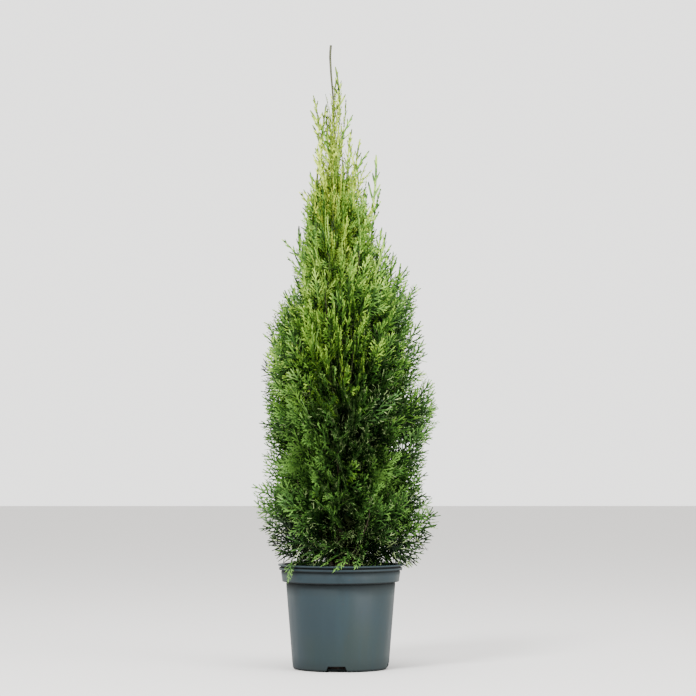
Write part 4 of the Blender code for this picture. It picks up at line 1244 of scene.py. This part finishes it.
    def grow_shoot(self, shape, tip, climb, length, tone):
        """A single shoot whose tip is at a given place."""
        end = beside_trunk(*tip)
        way = climbing(math.radians(tip[0]), math.radians(climb))
        base = end - way * length
        mass, _ = nearest_masses(base, self.masses)
        run = base - root_for(base, mass, way)
        path = curve_through(base - run, run * TWIG_BOW, base, way * run.length, SHOOT_PIECES)
        self.twigs.append(Twig(path, SHOOT_RADII, TWIG_BARK))
        tone += SHOOT_TONE_GROWTH * (end.z - MIX_TOP) + self.rng.gauss(0, SHOOT_TONE_SCATTER)
        across = self.across(way, base, SHOOT_ROLL)
        self.place_spray(mass, shape, base - way * OVERLAP, across, way, length, tone)

    def grow_hanging(self, foot, tip):
        """A twig that arches over the growing mix, with a spray that hangs over the pot's lip."""
        base, end = (outward(math.radians(turn)) * reach + UP * height for turn, reach, height in (foot, tip))
        mass, _ = nearest_masses(base, self.masses)
        run, root = end - base, path_point(mass.stem, ARCH_FOOT)
        path = curve_through(root, (base - root) + UP * ARCH, base, run)
        self.twigs.append(Twig(path, TWIG_RADII, TWIG_BARK))
        across, way = UP.cross(run).normalized(), run.normalized()
        self.place_spray(mass, "hanging", base, across, way, run.length, HANGING_TONE)


@functools.cache
def growth_from(seed, leaf_width):
    return Growth(seed, leaf_width)


def tree_growth(context):
    settings = context.scene.arbor_tree
    return growth_from(settings.seed, settings.leaf_width)


def twig_mesh(twig):
    """Corners, triangles and bark of one tapering twig."""
    ways = [(high - low).normalized() for low, high in zip(twig.points, twig.points[1:])]
    ways.append(ways[-1])
    side = FIRST_SIDE_WAY
    corners, triangles = [], []
    for point, way, radius in zip(twig.points, ways, evenly(*twig.radii, len(twig.points))):
        side = (side - way * side.dot(way)).normalized()
        for k in range(TWIG_SIDES):
            corners.append(point + Matrix.Rotation(2 * math.pi * k / TWIG_SIDES, 3, way) @ side * radius)
    for ring in range(len(twig.points) - 1):
        for k in range(TWIG_SIDES):
            a, b = ring * TWIG_SIDES + k, ring * TWIG_SIDES + (k + 1) % TWIG_SIDES
            c, d = a + TWIG_SIDES, b + TWIG_SIDES
            triangles += [(a, b, d), (a, d, c)]
    fresh = twig.bark == TWIG_BARK and twig.points[-1].z > FRESH_TWIGS
    return np.array(corners), np.array(triangles), FRESH_BARK if fresh else twig.bark


class ARBOR_OT_twigs(bpy.types.Operator):
    """Grows the stems and twigs of every mass, joined into one piece."""

    bl_idname = "arbor.twigs"
    bl_label = "Twigs"

    def execute(self, context):
        settings = context.scene.arbor_tree
        obj = joined_mesh("twigs", map(twig_mesh, tree_growth(context).twigs))
        barks = [
            bark("stem_bark", settings.stem_colour),
            bark("twig_bark", settings.twig_colour),
            bark("leader_bark", settings.leader_colour),
            bark("fresh_bark", settings.fresh_colour),
        ]
        finish_piece(obj, "twigs", [], barks)
        return {"FINISHED"}


def spray_mesh(spray):
    """Corners, triangles and green of each triangle of one spray, in its place."""
    form = spray.form
    axes = np.array([spray.across, spray.way, spray.across.cross(spray.way)]) * spray.length
    points = form.points @ axes + np.array(spray.base)
    shaded = spray.tone < SHADED_BELOW
    lightest = len(SHADE_GREENS) + LIT_TONES - (1 if spray.base.z > FRESH_ABOVE else 2)
    greens = np.clip(np.round(spray.tone + form.shades * (SHADED_CONTRAST if shaded else 1)), 0, lightest)
    greens[greens >= len(SHADE_GREENS)] += spray.greens * LIT_TONES
    # In a shaded spray, the glinting leaves take the pale green of a painted glint
    if shaded:
        greens[form.glints] = GREENS.index(PAINTED_GLINT_GREEN)
    return points, form.triangles, greens


class ARBOR_OT_sprays(bpy.types.Operator):
    """Dresses the twigs in flat sprays of scale leaves, joined into one piece for each mass."""

    bl_idname = "arbor.sprays"
    bl_label = "Sprays"

    def execute(self, context):
        growth = tree_growth(context)
        greens = [leaf(f"leaf_green_{number + 1}", colour) for number, colour in enumerate(GREENS)]
        for mass in growth.masses:
            name = mass.name.replace("foliage", "sprays")
            obj = joined_mesh(name, map(spray_mesh, growth.sprays[mass.name]))
            finish_piece(obj, name, [mass.name], greens)
        return {"FINISHED"}


# Stage


def turn_towards(obj, place, aim):
    obj.rotation_euler = (aim - Vector(place)).to_track_quat("-Z", "Y").to_euler()


class ARBOR_OT_stage(bpy.types.Operator):
    """Lays the pale floor, and sets the light and the camera."""

    bl_idname = "arbor.stage"
    bl_label = "Stage"

    def execute(self, context):
        settings = context.scene.arbor_stage
        self.lay_floor(settings)
        self.set_light(settings)
        self.set_camera()
        return {"FINISHED"}

    def lay_floor(self, settings):
        deselect_all()
        bpy.ops.mesh.primitive_plane_add(size=STUDIO_SIZE, location=(0, 0, -STUDIO_DROP))
        floor = bpy.context.active_object
        floor.name = "studio_floor"
        floor.data.materials.append(studio_paint(settings))

    def set_light(self, settings):
        world = bpy.data.worlds.new("studio")
        world.use_nodes = True
        back = world.node_tree.nodes["Background"]
        back.inputs["Color"].default_value = (*WORLD_COLOUR, 1)
        back.inputs["Strength"].default_value = settings.world_light
        bpy.context.scene.world = world
        for name, place, size, share in LIGHTS:
            bpy.ops.object.light_add(type="AREA", location=place)
            lamp = bpy.context.active_object
            lamp.name = name
            lamp.data.energy = settings.key_power * share
            lamp.data.size = size
            turn_towards(lamp, place, LIGHTS_AIM)

    def set_camera(self):
        bpy.ops.object.camera_add(location=CAMERA_PLACE)
        camera = bpy.context.active_object
        turn_towards(camera, CAMERA_PLACE, CAMERA_AIM)
        camera.data.sensor_fit = "HORIZONTAL"
        camera.data.angle = 2 * math.atan(PHOTO_HALF_WIDTH / PHOTO_FOCAL_LENGTH)
        bpy.context.scene.camera = camera


# Panel and start


class ARBOR_PT_panel(bpy.types.Panel):
    """Lists the pieces and their settings."""

    bl_idname = "ARBOR_PT_panel"
    bl_label = "Arborvitae"
    bl_space_type = "VIEW_3D"
    bl_region_type = "UI"
    bl_category = "Arborvitae"

    def draw(self, context):
        for name in GROUPS:
            settings = getattr(context.scene, name)
            for key in settings.bl_rna.properties.keys():
                if key not in ("rna_type", "name"):
                    self.layout.prop(settings, key)
        for step in STEPS:
            self.layout.operator(step.bl_idname)


GROUPS = {"arbor_pot": ARBOR_PG_pot, "arbor_tree": ARBOR_PG_tree, "arbor_stage": ARBOR_PG_stage}
STEPS = (
    ARBOR_OT_pot,
    ARBOR_OT_growing_mix,
    ARBOR_OT_trunk,
    ARBOR_OT_boughs,
    ARBOR_OT_twigs,
    ARBOR_OT_sprays,
    ARBOR_OT_stage,
)
CLASSES = (*GROUPS.values(), *STEPS, ARBOR_PT_panel)


def register():
    for made in CLASSES:
        bpy.utils.register_class(made)
    for name, group in GROUPS.items():
        setattr(bpy.types.Scene, name, PointerProperty(type=group))


def unregister():
    for name in GROUPS:
        delattr(bpy.types.Scene, name)
    for made in reversed(CLASSES):
        bpy.utils.unregister_class(made)


def main():
    register()
    bpy.ops.arbor.pot()
    bpy.ops.arbor.growing_mix()
    bpy.ops.arbor.trunk()
    bpy.ops.arbor.boughs()
    bpy.ops.arbor.twigs()
    bpy.ops.arbor.sprays()
    bpy.ops.arbor.stage()


if __name__ == "__main__":
    main()
